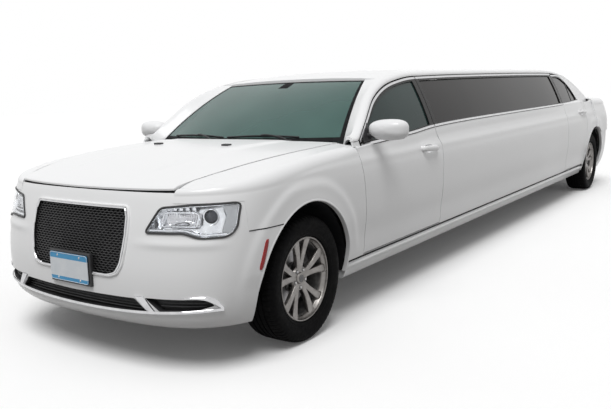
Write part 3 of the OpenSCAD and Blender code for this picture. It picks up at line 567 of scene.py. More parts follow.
# ---------------------------------------------------------------- materials
class Mat:
    """A small helper round one material's nodes."""

    def __init__(self, name):
        self.m = bpy.data.materials.new(name)
        self.m.use_nodes = True
        self.t = self.m.node_tree
        self.b = self.t.nodes["Principled BSDF"]

    def node(self, kind, **values):
        n = self.t.nodes.new(kind)
        for k, v in values.items():
            if k in n.inputs:
                n.inputs[k].default_value = v
            else:
                setattr(n, k, v)
        return n

    def link(self, a, b):
        self.t.links.new(a, b)

    def set(self, **values):
        for k, v in values.items():
            self.b.inputs[k.replace("_", " ")].default_value = v
        return self

    def coords(self, scale=(1, 1, 1)):
        tc = self.node("ShaderNodeTexCoord")
        mp = self.node("ShaderNodeMapping", Scale=scale)
        self.link(tc.outputs["Object"], mp.inputs["Vector"])
        return mp.outputs["Vector"]

    def noise(self, scale, detail=3.0, stretch=(1, 1, 1)):
        n = self.node("ShaderNodeTexNoise", Scale=scale, Detail=detail)
        self.link(self.coords(stretch), n.inputs["Vector"])
        return n.outputs["Fac"]

    def ramp(self, fac, stops):
        r = self.node("ShaderNodeValToRGB")
        e = r.color_ramp.elements
        while len(e) < len(stops):
            e.new(0.5)
        for i, (pos, col) in enumerate(stops):
            e[i].position = pos
            e[i].color = tuple(col) + (1.0,)
        self.link(fac, r.inputs["Fac"])
        return r.outputs["Color"]

    def vary(self, socket, fac, lo, hi):
        self.link(self.ramp(fac, [(0.3, lo), (0.7, hi)]), self.b.inputs[socket])

    def color(self, fac, lo, hi):
        self.vary("Base Color", fac, lo, hi)

    def rough(self, fac, lo, hi):
        self.vary("Roughness", fac, (lo, lo, lo), (hi, hi, hi))

    def bump(self, fac, strength, distance=0.001):
        n = self.node("ShaderNodeBump", Strength=strength, Distance=distance)
        self.link(fac, n.inputs["Height"])
        self.link(n.outputs["Normal"], self.b.inputs["Normal"])


def paint():
    m = Mat("white_paint").set(Coat_Weight=0.22, Coat_Roughness=0.04, Specular_IOR_Level=0.3)
    m.color(m.noise(0.7, 0), (0.838, 0.842, 0.848), (0.848, 0.852, 0.858))
    m.rough(m.noise(1.5, 0), 0.28, 0.33)
    return m.m


def plastic(name, lo, hi, r0, r1, grain=700, depth=0.15, spec=0.5):
    m = Mat(name).set(Specular_IOR_Level=spec)
    m.color(m.noise(14, 4), lo, hi)
    m.rough(m.noise(30, 2), r0, r1)
    m.bump(m.noise(grain, 2), depth, 0.0006)
    return m.m


def metal(name, lo, hi, r0, r1, grain=400, depth=0.05, stretch=(1, 1, 1)):
    m = Mat(name).set(Metallic=1.0)
    m.color(m.noise(30, 4), lo, hi)
    m.rough(m.noise(60, 3, stretch), r0, r1)
    m.bump(m.noise(grain, 2, stretch), depth, 0.0004)
    return m.m


def glass(name, tint, low, transmission, ior=1.26):
    m = Mat(name).set(IOR=ior, Transmission_Weight=transmission)
    m.color(m.noise(1.6, 2), low, tint)
    m.rough(m.noise(6, 2), 0.0, 0.025)
    return m.m


def rubber():
    m = Mat("rubber").set(Specular_IOR_Level=0.05)
    m.color(m.noise(18, 5), (0.003, 0.003, 0.0034), (0.007, 0.0068, 0.0068))
    m.rough(m.noise(60, 3), 0.62, 0.82)
    m.bump(m.noise(500, 3), 0.25, 0.0008)
    return m.m


def hide(name, lo, hi):
    m = Mat(name).set(Specular_IOR_Level=0.4, Sheen_Weight=0.05)
    m.color(m.noise(9, 5), lo, hi)
    v = m.node("ShaderNodeTexVoronoi", Scale=420.0)
    m.link(m.coords(), v.inputs["Vector"])
    m.bump(v.outputs["Distance"], 0.35, 0.0008)
    m.rough(m.noise(80, 3), 0.42, 0.6)
    return m.m


def cloth(name, lo, hi):
    m = Mat(name).set(Sheen_Weight=0.3)
    m.color(m.noise(260, 4), lo, hi)
    m.rough(m.noise(120, 2), 0.85, 0.98)
    m.bump(m.noise(900, 3), 0.5, 0.002)
    return m.m


WHITE = paint()
GLOSS_BLACK = plastic("gloss_black", (0.010, 0.0095, 0.0095), (0.017, 0.016, 0.016), 0.22, 0.3,
                      depth=0.01, spec=0.12)
BLACK = plastic("grained_black", (0.016, 0.016, 0.017), (0.028, 0.028, 0.03), 0.42, 0.58)
LINER = plastic("liner", (0.007, 0.007, 0.008), (0.014, 0.014, 0.015), 0.75, 0.9,
                grain=160, depth=0.4, spec=0.12)
TRIM = plastic("soft_trim", (0.035, 0.034, 0.034), (0.055, 0.053, 0.052), 0.5, 0.7, grain=520, depth=0.3)
CHROME = metal("chrome", (0.55, 0.55, 0.56), (0.66, 0.66, 0.67), 0.05, 0.12, depth=0.004)
ALLOY = metal("alloy", (0.19, 0.180, 0.172), (0.27, 0.258, 0.248), 0.26, 0.38, grain=900, depth=0.03)
ALLOY_IN = metal("alloy_inside", (0.10, 0.10, 0.10), (0.20, 0.195, 0.19), 0.4, 0.6, grain=500, depth=0.1)
STEEL = metal("steel", (0.30, 0.30, 0.31), (0.46, 0.45, 0.45), 0.3, 0.5, stretch=(1, 1, 6))
CAST = metal("cast", (0.11, 0.11, 0.115), (0.20, 0.195, 0.19), 0.5, 0.75, grain=260, depth=0.5)
RUBBER = rubber()
SCREEN = glass("screen_glass", (0.13, 0.25, 0.225), (0.09, 0.185, 0.168), 0.5)
DOOR_GLASS = glass("door_glass", (0.035, 0.075, 0.07), (0.02, 0.045, 0.042), 0.35, 1.23)
TINTED = glass("tinted_glass", (0.026, 0.022, 0.021), (0.016, 0.014, 0.0135), 0.15, 1.19)
LENS = glass("clear_lens", (0.97, 0.98, 0.99), (0.94, 0.95, 0.97), 1.0, 1.33)
RED = glass("red_lens", (0.42, 0.006, 0.006), (0.28, 0.004, 0.004), 0.2, 1.4)
PALE_LENS = glass("pale_lens", (0.72, 0.73, 0.74), (0.62, 0.63, 0.65), 0.35)
LEATHER = hide("leather_dark", (0.028, 0.026, 0.025), (0.046, 0.043, 0.041))
CARPET = cloth("carpet", (0.020, 0.020, 0.021), (0.045, 0.044, 0.044))
HEADLINER = cloth("headliner", (0.36, 0.35, 0.33), (0.44, 0.43, 0.41))
PLATE_WHITE = plastic("plate_sheet", (0.68, 0.72, 0.76), (0.76, 0.79, 0.82), 0.3, 0.42, grain=900, depth=0.05)
PLATE_BLUE = plastic("plate_band", (0.03, 0.26, 0.52), (0.05, 0.33, 0.60), 0.3, 0.42, grain=900, depth=0.05)
GRILLE_BAR = plastic("grille_bar", (0.026, 0.026, 0.027), (0.045, 0.045, 0.046), 0.24, 0.36,
                     depth=0.02, spec=0.45)
BEZEL = metal("lamp_bezel", (0.72, 0.73, 0.75), (0.86, 0.87, 0.88), 0.12, 0.22, depth=0.01)
PROJECTOR = glass("projector_glass", (0.10, 0.11, 0.13), (0.05, 0.055, 0.065), 0.35)

# ---------------------------------------------------------------- camera and light
FLOOR_HALF, FLOOR_LIFT, WORLD_FILL = 60.0, 0.045, 0.39
CAMERA_AT, CAMERA_LENS, CAMERA_SHIFT = (6.606, 3.002, 1.385), 41.96, 0.1071
cam = bpy.data.objects.new("camera", bpy.data.cameras.new("camera"))
scene.collection.objects.link(cam)
scene.camera = cam
right = Vector((-0.6161, 0.7867, -0.0383))
down = Vector((0.1456, 0.0660, -0.9871))
ahead = Vector((-0.7741, -0.6137, -0.1552))
turn = Matrix((right, -down, -ahead)).transposed().to_4x4()
cam.matrix_world = Matrix.Translation(CAMERA_AT) @ turn
cam.data.sensor_width = 36
cam.data.lens = CAMERA_LENS
cam.data.shift_x = CAMERA_SHIFT
cam.data.clip_end = 200


def stage_floor():
    """A pale floor: what the camera, metal and glass see is white, and the fill it throws up is dull."""
    h = FLOOR_HALF
    me = bpy.data.meshes.new("floor")
    me.from_pydata([(-h, -h, 0), (h, -h, 0), (h, h, 0), (-h, h, 0)], [], [(0, 1, 2, 3)])
    ob = bpy.data.objects.new("floor", me)
    scene.collection.objects.link(ob)
    m = Mat("floor_paper").set(Roughness=0.9, Specular_IOR_Level=0.1)
    m.color(m.noise(0.8, 2), (0.965, 0.965, 0.965), (0.975, 0.975, 0.975))
    lp = m.node("ShaderNodeLightPath")
    seen = lp.outputs["Is Camera Ray"]
    for ray in ("Is Glossy Ray", "Is Transmission Ray"):
        either = m.node("ShaderNodeMath", operation="MAXIMUM")
        m.link(seen, either.inputs[0])
        m.link(lp.outputs[ray], either.inputs[1])
        seen = either.outputs[0]
    lift = m.node("ShaderNodeMath", operation="MULTIPLY")
    lift.inputs[1].default_value = FLOOR_LIFT
    m.link(seen, lift.inputs[0])
    glow = m.node("ShaderNodeEmission")
    m.link(lift.outputs[0], glow.inputs["Strength"])
    add = m.node("ShaderNodeAddShader")
    m.link(m.b.outputs[0], add.inputs[0])
    m.link(glow.outputs[0], add.inputs[1])
    dull = m.node("ShaderNodeBsdfDiffuse")
    dull.inputs["Color"].default_value = (0.22, 0.215, 0.21, 1)
    pick = m.node("ShaderNodeMixShader")
    m.link(seen, pick.inputs[0])
    m.link(dull.outputs[0], pick.inputs[1])
    m.link(add.outputs[0], pick.inputs[2])
    m.link(pick.outputs[0], m.t.nodes["Material Output"].inputs["Surface"])
    ob.data.materials.append(m.m)


def sun(name, toward, strength, angle):
    la = bpy.data.lights.new(name, "SUN")
    la.energy, la.angle = strength, math.radians(angle)
    ob = bpy.data.objects.new(name, la)
    scene.collection.objects.link(ob)
    ob.rotation_euler = Vector(toward).to_track_quat("-Z", "Y").to_euler()


def studio():
    """White surroundings for what is seen or mirrored, dimmer ones as light, and one soft sun."""
    stage_floor()
    w = bpy.data.worlds.new("studio")
    scene.world = w
    w.use_nodes = True
    t = w.node_tree
    bg = t.nodes["Background"]
    bg.inputs["Color"].default_value = (1, 1, 1, 1)
    lp = t.nodes.new("ShaderNodeLightPath")
    a, b = t.nodes.new("ShaderNodeMath"), t.nodes.new("ShaderNodeMath")
    a.operation = b.operation = "MAXIMUM"
    t.links.new(lp.outputs["Is Camera Ray"], a.inputs[0])
    t.links.new(lp.outputs["Is Glossy Ray"], a.inputs[1])
    t.links.new(a.outputs[0], b.inputs[0])
    t.links.new(lp.outputs["Is Transmission Ray"], b.inputs[1])
    mix = t.nodes.new("ShaderNodeMapRange")
    mix.inputs["To Min"].default_value = WORLD_FILL
    mix.inputs["To Max"].default_value = 1.0
    t.links.new(b.outputs[0], mix.inputs["Value"])
    t.links.new(mix.outputs["Result"], bg.inputs["Strength"])
    sun("key", toward=(-0.40, -0.16, -0.90), strength=2.1, angle=34)
    scene.view_settings.view_transform = "Standard"


studio()

# ---------------------------------------------------------------- body panels
XS = np.unique(np.concatenate([lin(RA - 120, RA + 1240, 46), lin(RA + 1400, FA - 1900, 30),
                               lin(FA - 1800, FA - 600, 40)]))


def between_x(x0, x1):
    """The stations along the cabin from x0 to x1, with both ends."""
    return np.concatenate([[x0], XS[(XS > x0 + 8) & (XS < x1 - 8)], [x1]])


def moved(key, d):
    """An edge line moved along X by d."""
    return [[z, x + d] for z, x in key]


def side_cut(points):
    return prism(points, "y", -50, HALF + 300)


def arch(x, r=ARCH_R):
    return disc_prism(x, ARCH_Z, r, HALF - 500, HALF + 200, 128)


def lid_cut(x0, x1, x_end, z):
    """The opening of the hood or the trunk lid, above height z."""
    pts = [(x, float(lid_edge(x)) + GAP) for x in lin(x0, x1, 24)]
    if x_end > x1:
        pts += [(x_end, float(lid_edge(x1)) + GAP), (x_end, 0), (x0, 0)]
    else:
        pts += [(x1, 0), (x_end, 0), (x_end, float(lid_edge(x0)) + GAP)]
    return prism(pts, "z", z, z + 400)


# where each station's points lie, in flank's terms
Q = np.concatenate([lin(0, 0.9, 26)[:-1], lin(0.9, 1, 3)[:-1], lin(1, 2, 12)[:-1], lin(2, 3, 5)])


def flanks(xs, z0):
    """The fender's surface over the stations xs, from the height z0(x) up."""
    return np.stack([flank(float(x), float(z0(x)), Q) for x in xs])


def front_fenders():
    xs = np.concatenate([lin(FA - 640, FA - 20, 30), lin(FA + 20, FA + 240, 10), lin(FA + 262, FA + 748, 32)])
    low, high = SILL_Z + FIT, NOSE_SEAM + SEAM

    def foot(x):
        k = min(max((x - FA + 290) / 540, 0), 1)
        return low + (high - low) * k**2 * (3 - 2 * k)

    g = flanks(xs, foot)
    door = [(float(curve(FRONT_DOOR_A, z)) + GAP, z) for z in lin(300, 1100, 24)]
    door += [(FA - 900, 1100), (FA - 900, 300)]
    part = carve(sheet(g, -SKIN), [
        arch(FRONT_ARCH_X), side_cut(door), box([SEAM_X - SEAM, 0, 600], [NOSE, HALF + 50, LAMP_TOP]),
        box([FA - 900, 0, 1046], [FA - 590, HALF + 50, 1200]), lid_cut(FA - 700, LID_NOSE, NOSE, LAMP_TOP)])
    # the dark line of the seam with the bumper cover, from the headlamp to the arch
    seam = ribbon(lin(FA + 240, SEAM_X - 4, 30), lambda x: NOSE_SEAM + SEAM / 2 + 0 * x, skin_y, 3.2, 0.7, 1)
    part = join([part, carve(seam, [arch(FRONT_ARCH_X)])])
    place("front_fender_skins", both(part), "body", [WHITE, LINER], ["front_fenders"])


def rear_quarters():
    xs = np.concatenate([tail_at(SIDE_REF) + np.array([60, 76, 94, 120, 150]),
                         lin(TAIL + 200, TAIL + 700, 16), lin(TAIL + 730, RA - 60, 10)])
    a = sheet(flanks(xs, lambda x: BUMPER_TOP + SEAM), SKIN)
    zs = lin(SILL_Z + FIT, 1112, 40)
    b = sheet(grid(lambda x, z: xyz(x, skin_y(x, z), z), lin(RA - 80, RA + 340, 24), zs), -SKIN)

    def jamb(z, u):
        x0 = RA + 330
        x = x0 + (curve(REAR_DOOR_B, z) - GAP - x0) * u
        return xyz(x, skin_y(x, z), z)

    c = grid(jamb, zs, lin(0, 1, 5))
    flat = c.copy()
    flat[..., 1] = INNER_Y
    cuts = [arch(RA), box([TAIL - 50, 0, 0], [RA - 350, HALF + 100, BUMPER_TOP + SEAM]),
            lid_cut(LID_TAIL, RA - 60, TAIL - 50, LAMP_Z1),
            box([TAIL - 50, 0, LAMP_Z0 - GAP], [LAMP_X + GAP, HALF + 100, LAMP_Z1 + GAP]),
            box([TAIL - 50, 0, 0], [LID_TAIL + 60, LID_Y + GAP, LAMP_Z0])]
    parts = [carve(a, cuts), carve(b, [cuts[0]]), carve(shell(c, flat), [cuts[0]])]

    def upper(u, x):
        z0 = np.where(x < RA + 430, 1098, door_top(x, True) + GAP)
        z = z0 + (rail(x) + GAP - SEAM - z0) * u
        return xyz(x, upper_y(x, z), z)

    us, xs = lin(0, 1, 12), between_x(RA - 108, RA + 930)
    h = grid(upper, us, xs)
    h[..., 2] -= 26 * us[:, None]
    parts.append(shell(grid(upper, us, xs), h - [0, FRAME_T, 0]))
    place("rear_quarter_skins", both(join(parts)), "body", [WHITE], ["rear_quarters"])


def side_wall(xb, xa, z0, nx, bevel=0.0):
    """A door's or side panel's wall from z0 up to the belt, between the edges xb and xa."""
    def outer(v, u):
        x = curve(xb, 1000.0) + (curve(xa, 1000.0) - curve(xb, 1000.0)) * u
        for _ in range(3):
            z = z0 + (belt(x) - 20 - z0) * v
            x = curve(xb, z) + (curve(xa, z) - curve(xb, z)) * u
        y = skin_y(x, z)
        near = np.clip((z - belt(x) + 80) / 45, 0, 1)
        return xyz(x, y + near * np.maximum(upper_y(x, z) + 2.5 - y, 0), z)

    g = grid(outer, lin(0, 1, 60), lin(0, 1, nx))
    top = g[-1]
    for a in (0.25, 0.5, 0.75, 1.0):
        z = top[:, 2] + 12 * math.sin(a * math.pi / 2)
        y = top[:, 1] + (upper_y(top[:, 0], z) + 1.5 - top[:, 1]) * (1 - math.cos(a * math.pi / 2))
        g = np.concatenate([g, xyz(top[:, 0], y, z)[None]])
    u = np.broadcast_to(lin(0, 1, nx)[None, :], g.shape[:2])
    h = np.stack([g[..., 0] + bevel * (1 - u), np.full(g.shape[:2], INNER_Y), g[..., 2]], -1)
    return shell(g, h, (0, 1, 0))


def window_frame(x0, x1, rear, window, lift=0.0, bevel=0.0):
    """The black frame from x0 to x1 round the given window line."""
    xs, us = between_x(x0, x1), lin(0, 1, 10)

    def pt(u, x, low):
        foot = belt(x) - 40
        z = foot + (door_top(x, rear) + lift - low - foot) * u
        return xyz(x, upper_y(x, z), z)

    g = grid(lambda u, x: pt(u, x, 0), us, xs)
    inset = (x1 - x0 - bevel) / (x1 - x0)
    h = grid(lambda u, x: pt(u, x0 + bevel + (x - x0) * inset, bevel), us, xs)
    h[..., 1] -= FRAME_T
    return remat(carve(shell(g, h), [side_cut(window)]), 2)


def window_line(x0, x1, rear):
    """The outline of the opening in a window frame."""
    xs = between_x(x0, x1)
    low = [(x, float(belt(x)) + 4) for x in xs]
    high = [(x, max(float(door_top(x, rear)) - FRAME_W, float(belt(x)) + 6)) for x in xs[::-1]]
    return low + high


def glass_sheet(x0, x1, rear):
    """The pane in the opening from x0 to x1, just clear of its frame."""
    gap = 0.8

    def pt(u, x):
        lo = belt(x) + 4 + gap
        z = lo + (np.maximum(door_top(x, rear) - FRAME_W - gap, belt(x) + 12) - lo) * u
        return xyz(x, upper_y(x, z) - 10, z)

    g = grid(pt, lin(0, 1, 14), between_x(x0 + gap, x1 - gap))
    return shell(g, g - [0, GLASS_T, 0])


def ribbon(xs, zc, yf, half_h, proud, mat=0):
    """A trim strip along the side: a rounded bar of half height half_h that stands proud of the surface."""
    z = zc(xs)
    prof = [(-1, -3), (-0.86, proud * 0.7), (-0.4, proud), (0.4, proud), (0.86, proud * 0.7), (1, -3)]
    g = np.stack([xyz(xs, yf(xs, z + a * half_h) + p, z + a * half_h) for a, p in prof])
    h = g.copy()
    h[..., 1] = np.minimum(g[..., 1].min(0)[None], g[..., 1]) - 2
    return remat(shell(g, h), mat)


def strips(x0, x1, rear=False):
    """The strips along the windows: bright below and above, with a dark seal on each side of the lower."""
    xs = between_x(x0, x1)
    low = ribbon(xs, lambda x: belt(x) - 4, upper_y, 8, 5, 3)
    high = ribbon(xs, lambda x: door_top(x, rear) - 9, upper_y, 8, 4, 3)
    seal = ribbon(xs, lambda x: belt(x) - 14, upper_y, 3.4, 5.6, 2)
    lip = ribbon(xs, lambda x: belt(x) + 6, upper_y, 3, 4.6, 2)
    return [low, high, seal, lip]


def hollow(part, x, z):
    """Presses the hollow behind a handle into the panel."""
    bm = bmesh.new()
    bmesh.ops.create_uvsphere(bm, u_segments=48, v_segments=24, radius=1)
    v, f, _ = arrays(bm)
    bm.free()
    ball = (v * [80, 24, 31] + [x, float(skin_y(x, z)) + 2, z], f, [0] * len(f))
    return carve(part, [ball])


def handle(x, z):
    """A pull handle: a bowed bar over a hollow, with a bright line along it."""
    s = np.linspace(-1, 1, 30)
    px = x + s * 120
    out = 36 * np.power(np.maximum(1 - np.abs(s) ** 5, 0), 0.5)
    pz = z + 5 * s
    y = skin_y(px, pz) + out - 8
    bar = tube(np.stack([px, y, pz], 1), 13 - 3 * np.abs(s) ** 4, 14, mat=0, flat=1.6, up=(0, 1, 0))
    line = tube(np.stack([px[3:-3], y[3:-3] + 6, pz[3:-3] + 15], 1), 2.6, 8, mat=3)
    return [bar, line]


def rear_door_parts():
    """The left rear door's skin and pane, with the glass's material and a slot name that nothing uses."""
    wall = side_wall(REAR_DOOR_B, REAR_DOOR_A, DOOR_Z, 34, 34)
    wall = hollow(carve(wall, [arch(RA, ARCH_R + 4)]), *REAR_HANDLE)
    x0, x1 = RA + 540, RA + 1206
    fr = window_frame(RA + 450, REAR_POST, True, window_line(x0, x1, True), 0, 20)
    parts = [wall, fr] + strips(RA + 452, REAR_POST - 2, True) + handle(*REAR_HANDLE)
    # the upright bar between the door's window and its quarter glass
    xb = RA + 760
    zs = lin(float(belt(xb)) + 5, float(door_top(xb, True)) - FRAME_W, 8)
    g = np.stack([xyz(xb + d - 0.10 * (zs - 1130), upper_y(xb, zs) - 9 + p, zs)
                  for d, p in ((-13, -2), (-9, 3), (9, 3), (13, -2))])
    parts.append(remat(shell(g, g - [0, 6, 0]), 2))
    return join(parts), glass_sheet(x0, x1, True), TINTED, "dark_glass"


def front_door_parts():
    """The left front door's skin and pane, with the glass's material and a slot name that nothing uses."""
    wall = hollow(side_wall(FRONT_DOOR_B, FRONT_DOOR_A, DOOR_Z, 44, 24), *FRONT_HANDLE)
    x0, x1 = FA - 1704, FA - 800
    fr = window_frame(FRONT_POST, FA - 655, False, window_line(x0, x1, False), 0, 9)
    parts = [wall, fr] + strips(FRONT_POST + 2, FA - 657) + handle(*FRONT_HANDLE)
    return join(parts), glass_sheet(x0, x1, False), DOOR_GLASS, "green_glass"


PANEL_MATS = [WHITE, TRIM, GLOSS_BLACK, CHROME]


def doors():
    for end, made in (("front", front_door_parts()), ("rear", rear_door_parts())):
        skin, pane, glass_mat, slot = made
        for side, s in (("left", 1), ("right", -1)):
            body = f"{side}_{end}_door"
            place(f"{body}_skin", on_side(skin, s), body, PANEL_MATS, [body])
            place(f"{body}_pane", on_side(pane, s), body, [glass_mat], [f"{side}_{end}_glass"])


def side_panels():
    x0, x1 = REAR_POST + GAP, FRONT_POST - GAP
    w0, w1 = x0 + 70, x1 - 50
    wall = side_wall(moved(REAR_DOOR_A, GAP), moved(FRONT_DOOR_B, -GAP), SILL_Z + FIT, 90)
    fr = window_frame(x0 + 1, x1, False, window_line(w0, w1, False), GAP - SEAM)
    part = both(join([wall, fr] + strips(x0 + 2, x1 - 1)))
    place("side_panel_skins", part, "body", PANEL_MATS, ["side_panels"])
    panes = both(glass_sheet(w0, w1, False))
    place("long_window_panes", panes, "body", [TINTED], ["side_windows"])


def sills():
    # the moulding's profile: height, and how far it stands out
    prof = [(252, -26), (254, -10), (262, -2), (300, -1), (310, 2), (316, 7), (330, 7), (338, 2), (346, -7),
            (352, -9), (360, -9), (366, -4), (368, -6)]
    openings = [arch(RA), arch(FRONT_ARCH_X)]
    xs = lin(RA + 452, FA - 438, 120)
    g = np.stack([xyz(xs, side_y(xs, z) - 2 + o, z) for z, o in prof])
    h = g.copy()
    h[..., 1] = 817.3
    part = carve(shell(g, h), openings)
    # the dark line in the groove above the ridge
    zs = np.array([350.0, 352, 355, 358, 360])
    line = np.stack([xyz(xs, side_y(xs, z) + o, z) for z, o in zip(zs, (-14, -5, -4, -5, -14))])
    dark = line.copy()
    dark[..., 1] -= 4
    line = carve(shell(line, dark, (1, 1, 1)), openings)
    place("sill_mouldings", both(join([part, line])), "body", [WHITE, LINER], ["sills"])


def rail_strip(x0, x1, side):
    """A stretch of the rail over the windows, reaching in to the front (1) or rear (-1) screen's edge."""
    xs = between_x(x0, x1)
    q = lin(0, 1, 8)
    g = grid(band_pt, xs, q)
    if side:
        if side > 0:
            e = np.array([screen_pt(1, (FA - 640 - x) / (FA - 640 - SCREEN_TOP_X)) for x in xs])
        else:
            e = np.array([rear_pt(1, (x - RA + 100) / (REAR_TOP_X - RA + 100)) for x in xs])
        last = g[:, -1]
        more = [last + (e + [0, SEAM, 3] - last) * k for k in (0.25, 0.5, 0.75, 1.0)]
        g = np.concatenate([g, np.stack(more, 1)], 1)
    s = np.minimum(np.arange(g.shape[1]) / 8, 1)[None, :]
    h = g.copy()
    h[..., 1] -= RAIL_T * (1 - s)
    h[..., 2] -= RAIL_T * s
    return shell(g, h)


def rails_and_roof():
    parts = [rail_strip(SCREEN_TOP_X, FA - 578, 1),
             rail_strip(REAR_TOP_X + SEAM, SCREEN_TOP_X - SEAM, 0),
             rail_strip(RA - 100, REAR_TOP_X, -1)]
    iy = INNER_Y
    parts.append(box([FA - 560, iy - 60, SILL_Z + FIT], [FA - 472, iy + 44, 1000], 1, 3))
    for z in HINGE_HEIGHTS:
        x = float(curve(FRONT_DOOR_A, z + 40))
        parts.append(box([x + FIT, iy + 6, z], [FA - 559, iy + 30, z + 40], 1, 2))
        parts.append(box([REAR_POST + FIT, iy + 6, z], [REAR_POST + GAP - FIT, iy + 30, z + 40], 1, 1))

    def pillar_foot(x, u):
        """The foot of the windscreen pillar, down to the fender."""
        z = 1034 + (np.maximum(rail(x) + 4, 1040) - 1034) * u
        return xyz(x, upper_y(x, z) - 3, z)

    foot = grid(pillar_foot, lin(FA - 646, FA - 566, 12), lin(0, 1, 8))
    parts.append(shell(foot, foot - [0, 9, 0]))
    parts.append(box([FA - 646, 764, 1022], [FA - 592, float(upper_y(FA - 620, 1036)) - 13, 1043], 0, 3))
    parts.append(box([FA - 512, 690, 960], [FA - 474, iy - 59, 1000], 1, 2))
    top = float(top_z(FA - 474, 750)) - SKIN - FIT
    parts.append(box([FA - 512, 690, 999], [FA - 474, 750, top], 1, 2))
    place("roof_rails", both(join(parts)), "body", [WHITE, BLACK], ["pillars"])

    def pt(x, t):
        y = roof_half(x) * t
        bow = np.where(x < SCREEN_TOP_X, 0, 28 * np.maximum(1 - (y / 590) ** 2, 0) - SEAM)
        return xyz(x + bow, y, roof_z(x + bow, y))

    g = grid(pt, between_x(REAR_TOP_X, SCREEN_TOP_X), packed(40, 1.3))
    skin = shell(g, g - [0, 0, RAIL_T], (0, 1, 0))
    place("roof_skin", skin, "body", [WHITE, HEADLINER], ["roof"])


def pane(point, us, ts, thick, dark):
    """A screen's glass: both faces have material 1 where dark(u, t) holds, with t counted from the middle."""
    v, f, m = sheet(grid(lambda u, t: point(t, u), us, ts), thick)
    n, k = len(us) - 1, len(ts) - 1
    for i in range(n):
        for j in range(k):
            if dark((us[i] + us[i + 1]) / 2, abs(ts[j] + ts[j + 1]) / 2):
                m[i * k + j] = m[n * k + i * k + j] = 1
    return v, f, m


def screens():
    def front_dark(u, t):
        return u < 0.05 or u > 0.955 or t > 0.965 or (t < 0.06 and u > 0.86)

    def rear_dark(u, t):
        return u < 0.05 or u > 0.95 or t > 0.955

    front = pane(screen_pt, lin(0, 0.985, 36), lin(-1, 1, 60), -GLASS_T, front_dark)
    rear = pane(rear_pt, lin(0, 1, 30), lin(-1, 1, 50), GLASS_T, rear_dark)
    place("screen_pane", front, "body", [SCREEN, LINER], ["windscreen"])
    place("rear_pane", rear, "body", [TINTED, LINER], ["rear_window"])


def cowl():
    def pt(u, t):
        a = screen_pt(t * 0.99, 0) + np.array([-4, 0, -GLASS_T - 2 * FIT])
        b = xyz(hood_rear(760 * t) - GAP, 760 * t, 1044 - 10 * t * t)
        p = a + (b - a) * u[..., None]
        p[..., 2] += 2.5 * np.sin(t * 190) * np.clip(u * 4, 0, 1) * np.clip((1 - u) * 4, 0, 1)
        return p

    part = sheet(grid(pt, lin(0, 1, 10), lin(-1, 1, 240)), 10)
    place("cowl_panel", part, "body", [BLACK], ["cowl"])


def hood():
    def pt(u, t):
        xe = LID_NOSE + (FA - 590 - LID_NOSE) * u
        y = t * (lid_edge(xe) - 1.5)
        x = hood_front(y) + (hood_rear(y) - hood_front(y)) * u
        return xyz(x, y, top_z(x, y) + bulges(x, y))

    def roll(u, t):
        p = pt(u, t)
        p[..., 2] -= 5 * (1 - np.clip(u / 0.02, 0, 1)) ** 2
        return p

    u = np.concatenate([lin(0, 0.03, 6)[:-1], lin(0.03, 1, 60)])
    g = grid(roll, u, lin(-1, 1, 110))
    low = g.copy()
    low[..., 2] = top_z(g[..., 0], g[..., 1]) - SKIN
    parts = [shell(g, low, (0, 1, 0))]
    for s in (-1, 1):
        x, y = FA - 118, 284 * s
        z = float(top_z(x, y) + bulges(x, y))
        parts.append(box([x - 14, y - 26, z - 4], [x + 26, y + 26, z + 9], 1, 4))
    place("hood_skin", join(parts), "hood", [WHITE, BLACK], ["hood"])


def trunk():
    def pt(k, t):
        x = RA - 142 + (LID_TAIL - RA + 142) * np.minimum(k, 1)
        y = lid_edge(x) * t
        a = xyz(x, y, top_z(x, y))
        z = 1104 + (BUMPER_TOP + GAP - 1104) * (k - 1)
        b = xyz(tail_at(z) + sweep(LID_Y * np.abs(t) / HALF, -1) - 2, LID_Y * t, z)
        b[..., 0] += 9 * np.exp(-(((z - 900) / 60) ** 2)) * np.clip((0.62 - np.abs(t)) * 12, 0, 1)
        return np.where(k[..., None] <= 1, a, b)

    k = np.concatenate([lin(0, 1, 30), lin(1.03, 2, 34)])
    g = grid(pt, k, lin(-1, 1, 70))
    part = sheet(g, -SKIN, (0, 1, 0))
    line = [[float(tail_pt(t, 1000)[0]) - 6, float(HALF * t), 985] for t in lin(-0.5, 0.5, 20)]
    bar = tube(line, 9, 10, mat=2, flat=0.6)
    place("trunk_skin", join([part, bar]), "trunk_lid", [WHITE, BLACK, CHROME], ["trunk_lid"])


front_fenders()
rear_quarters()
doors()
side_panels()
sills()
rails_and_roof()
screens()
cowl()
hood()
trunk()


# ---------------------------------------------------------------- front end
def spline(points, n=8):
    """A smooth line through the points, n steps between each two."""
    p = np.asarray(points, float)
    p = np.concatenate([p[:1], p, p[-1:]])
    out = []
    for a, b, c, d in zip(p, p[1:], p[2:], p[3:]):
        for s in np.arange(n) / n:
            out.append(0.5 * (2 * b + (c - a) * s + (2 * a - 5 * b + 4 * c - d) * s**2
                              + (3 * b - a - 3 * c + d) * s**3))
    out.append(p[-1])
    return np.array(out)


def rounded(points, r, n=6):
    """The outline with its corners rounded by r."""
    p = np.asarray(points, float)
    out = []
    for i in range(len(p)):
        a, b, c = p[i - 1], p[i], p[(i + 1) % len(p)]
        u, v = (a - b) / np.linalg.norm(a - b), (c - b) / np.linalg.norm(c - b)
        for s in np.arange(n + 1) / n:
            q0, q1 = b + u * r * (1 - s), b + v * r * s
            out.append(q0 * (1 - s) + q1 * s)
    return np.array(out)


def dense(points, step):
    """The closed outline with a point about every step."""
    p = np.asarray(points, float)
    out = []
    for a, b in zip(p, np.roll(p, -1, 0)):
        m = max(int(np.linalg.norm(b - a) / step), 1)
        out += [a + (b - a) * s / m for s in range(m)]
    return np.array(out)


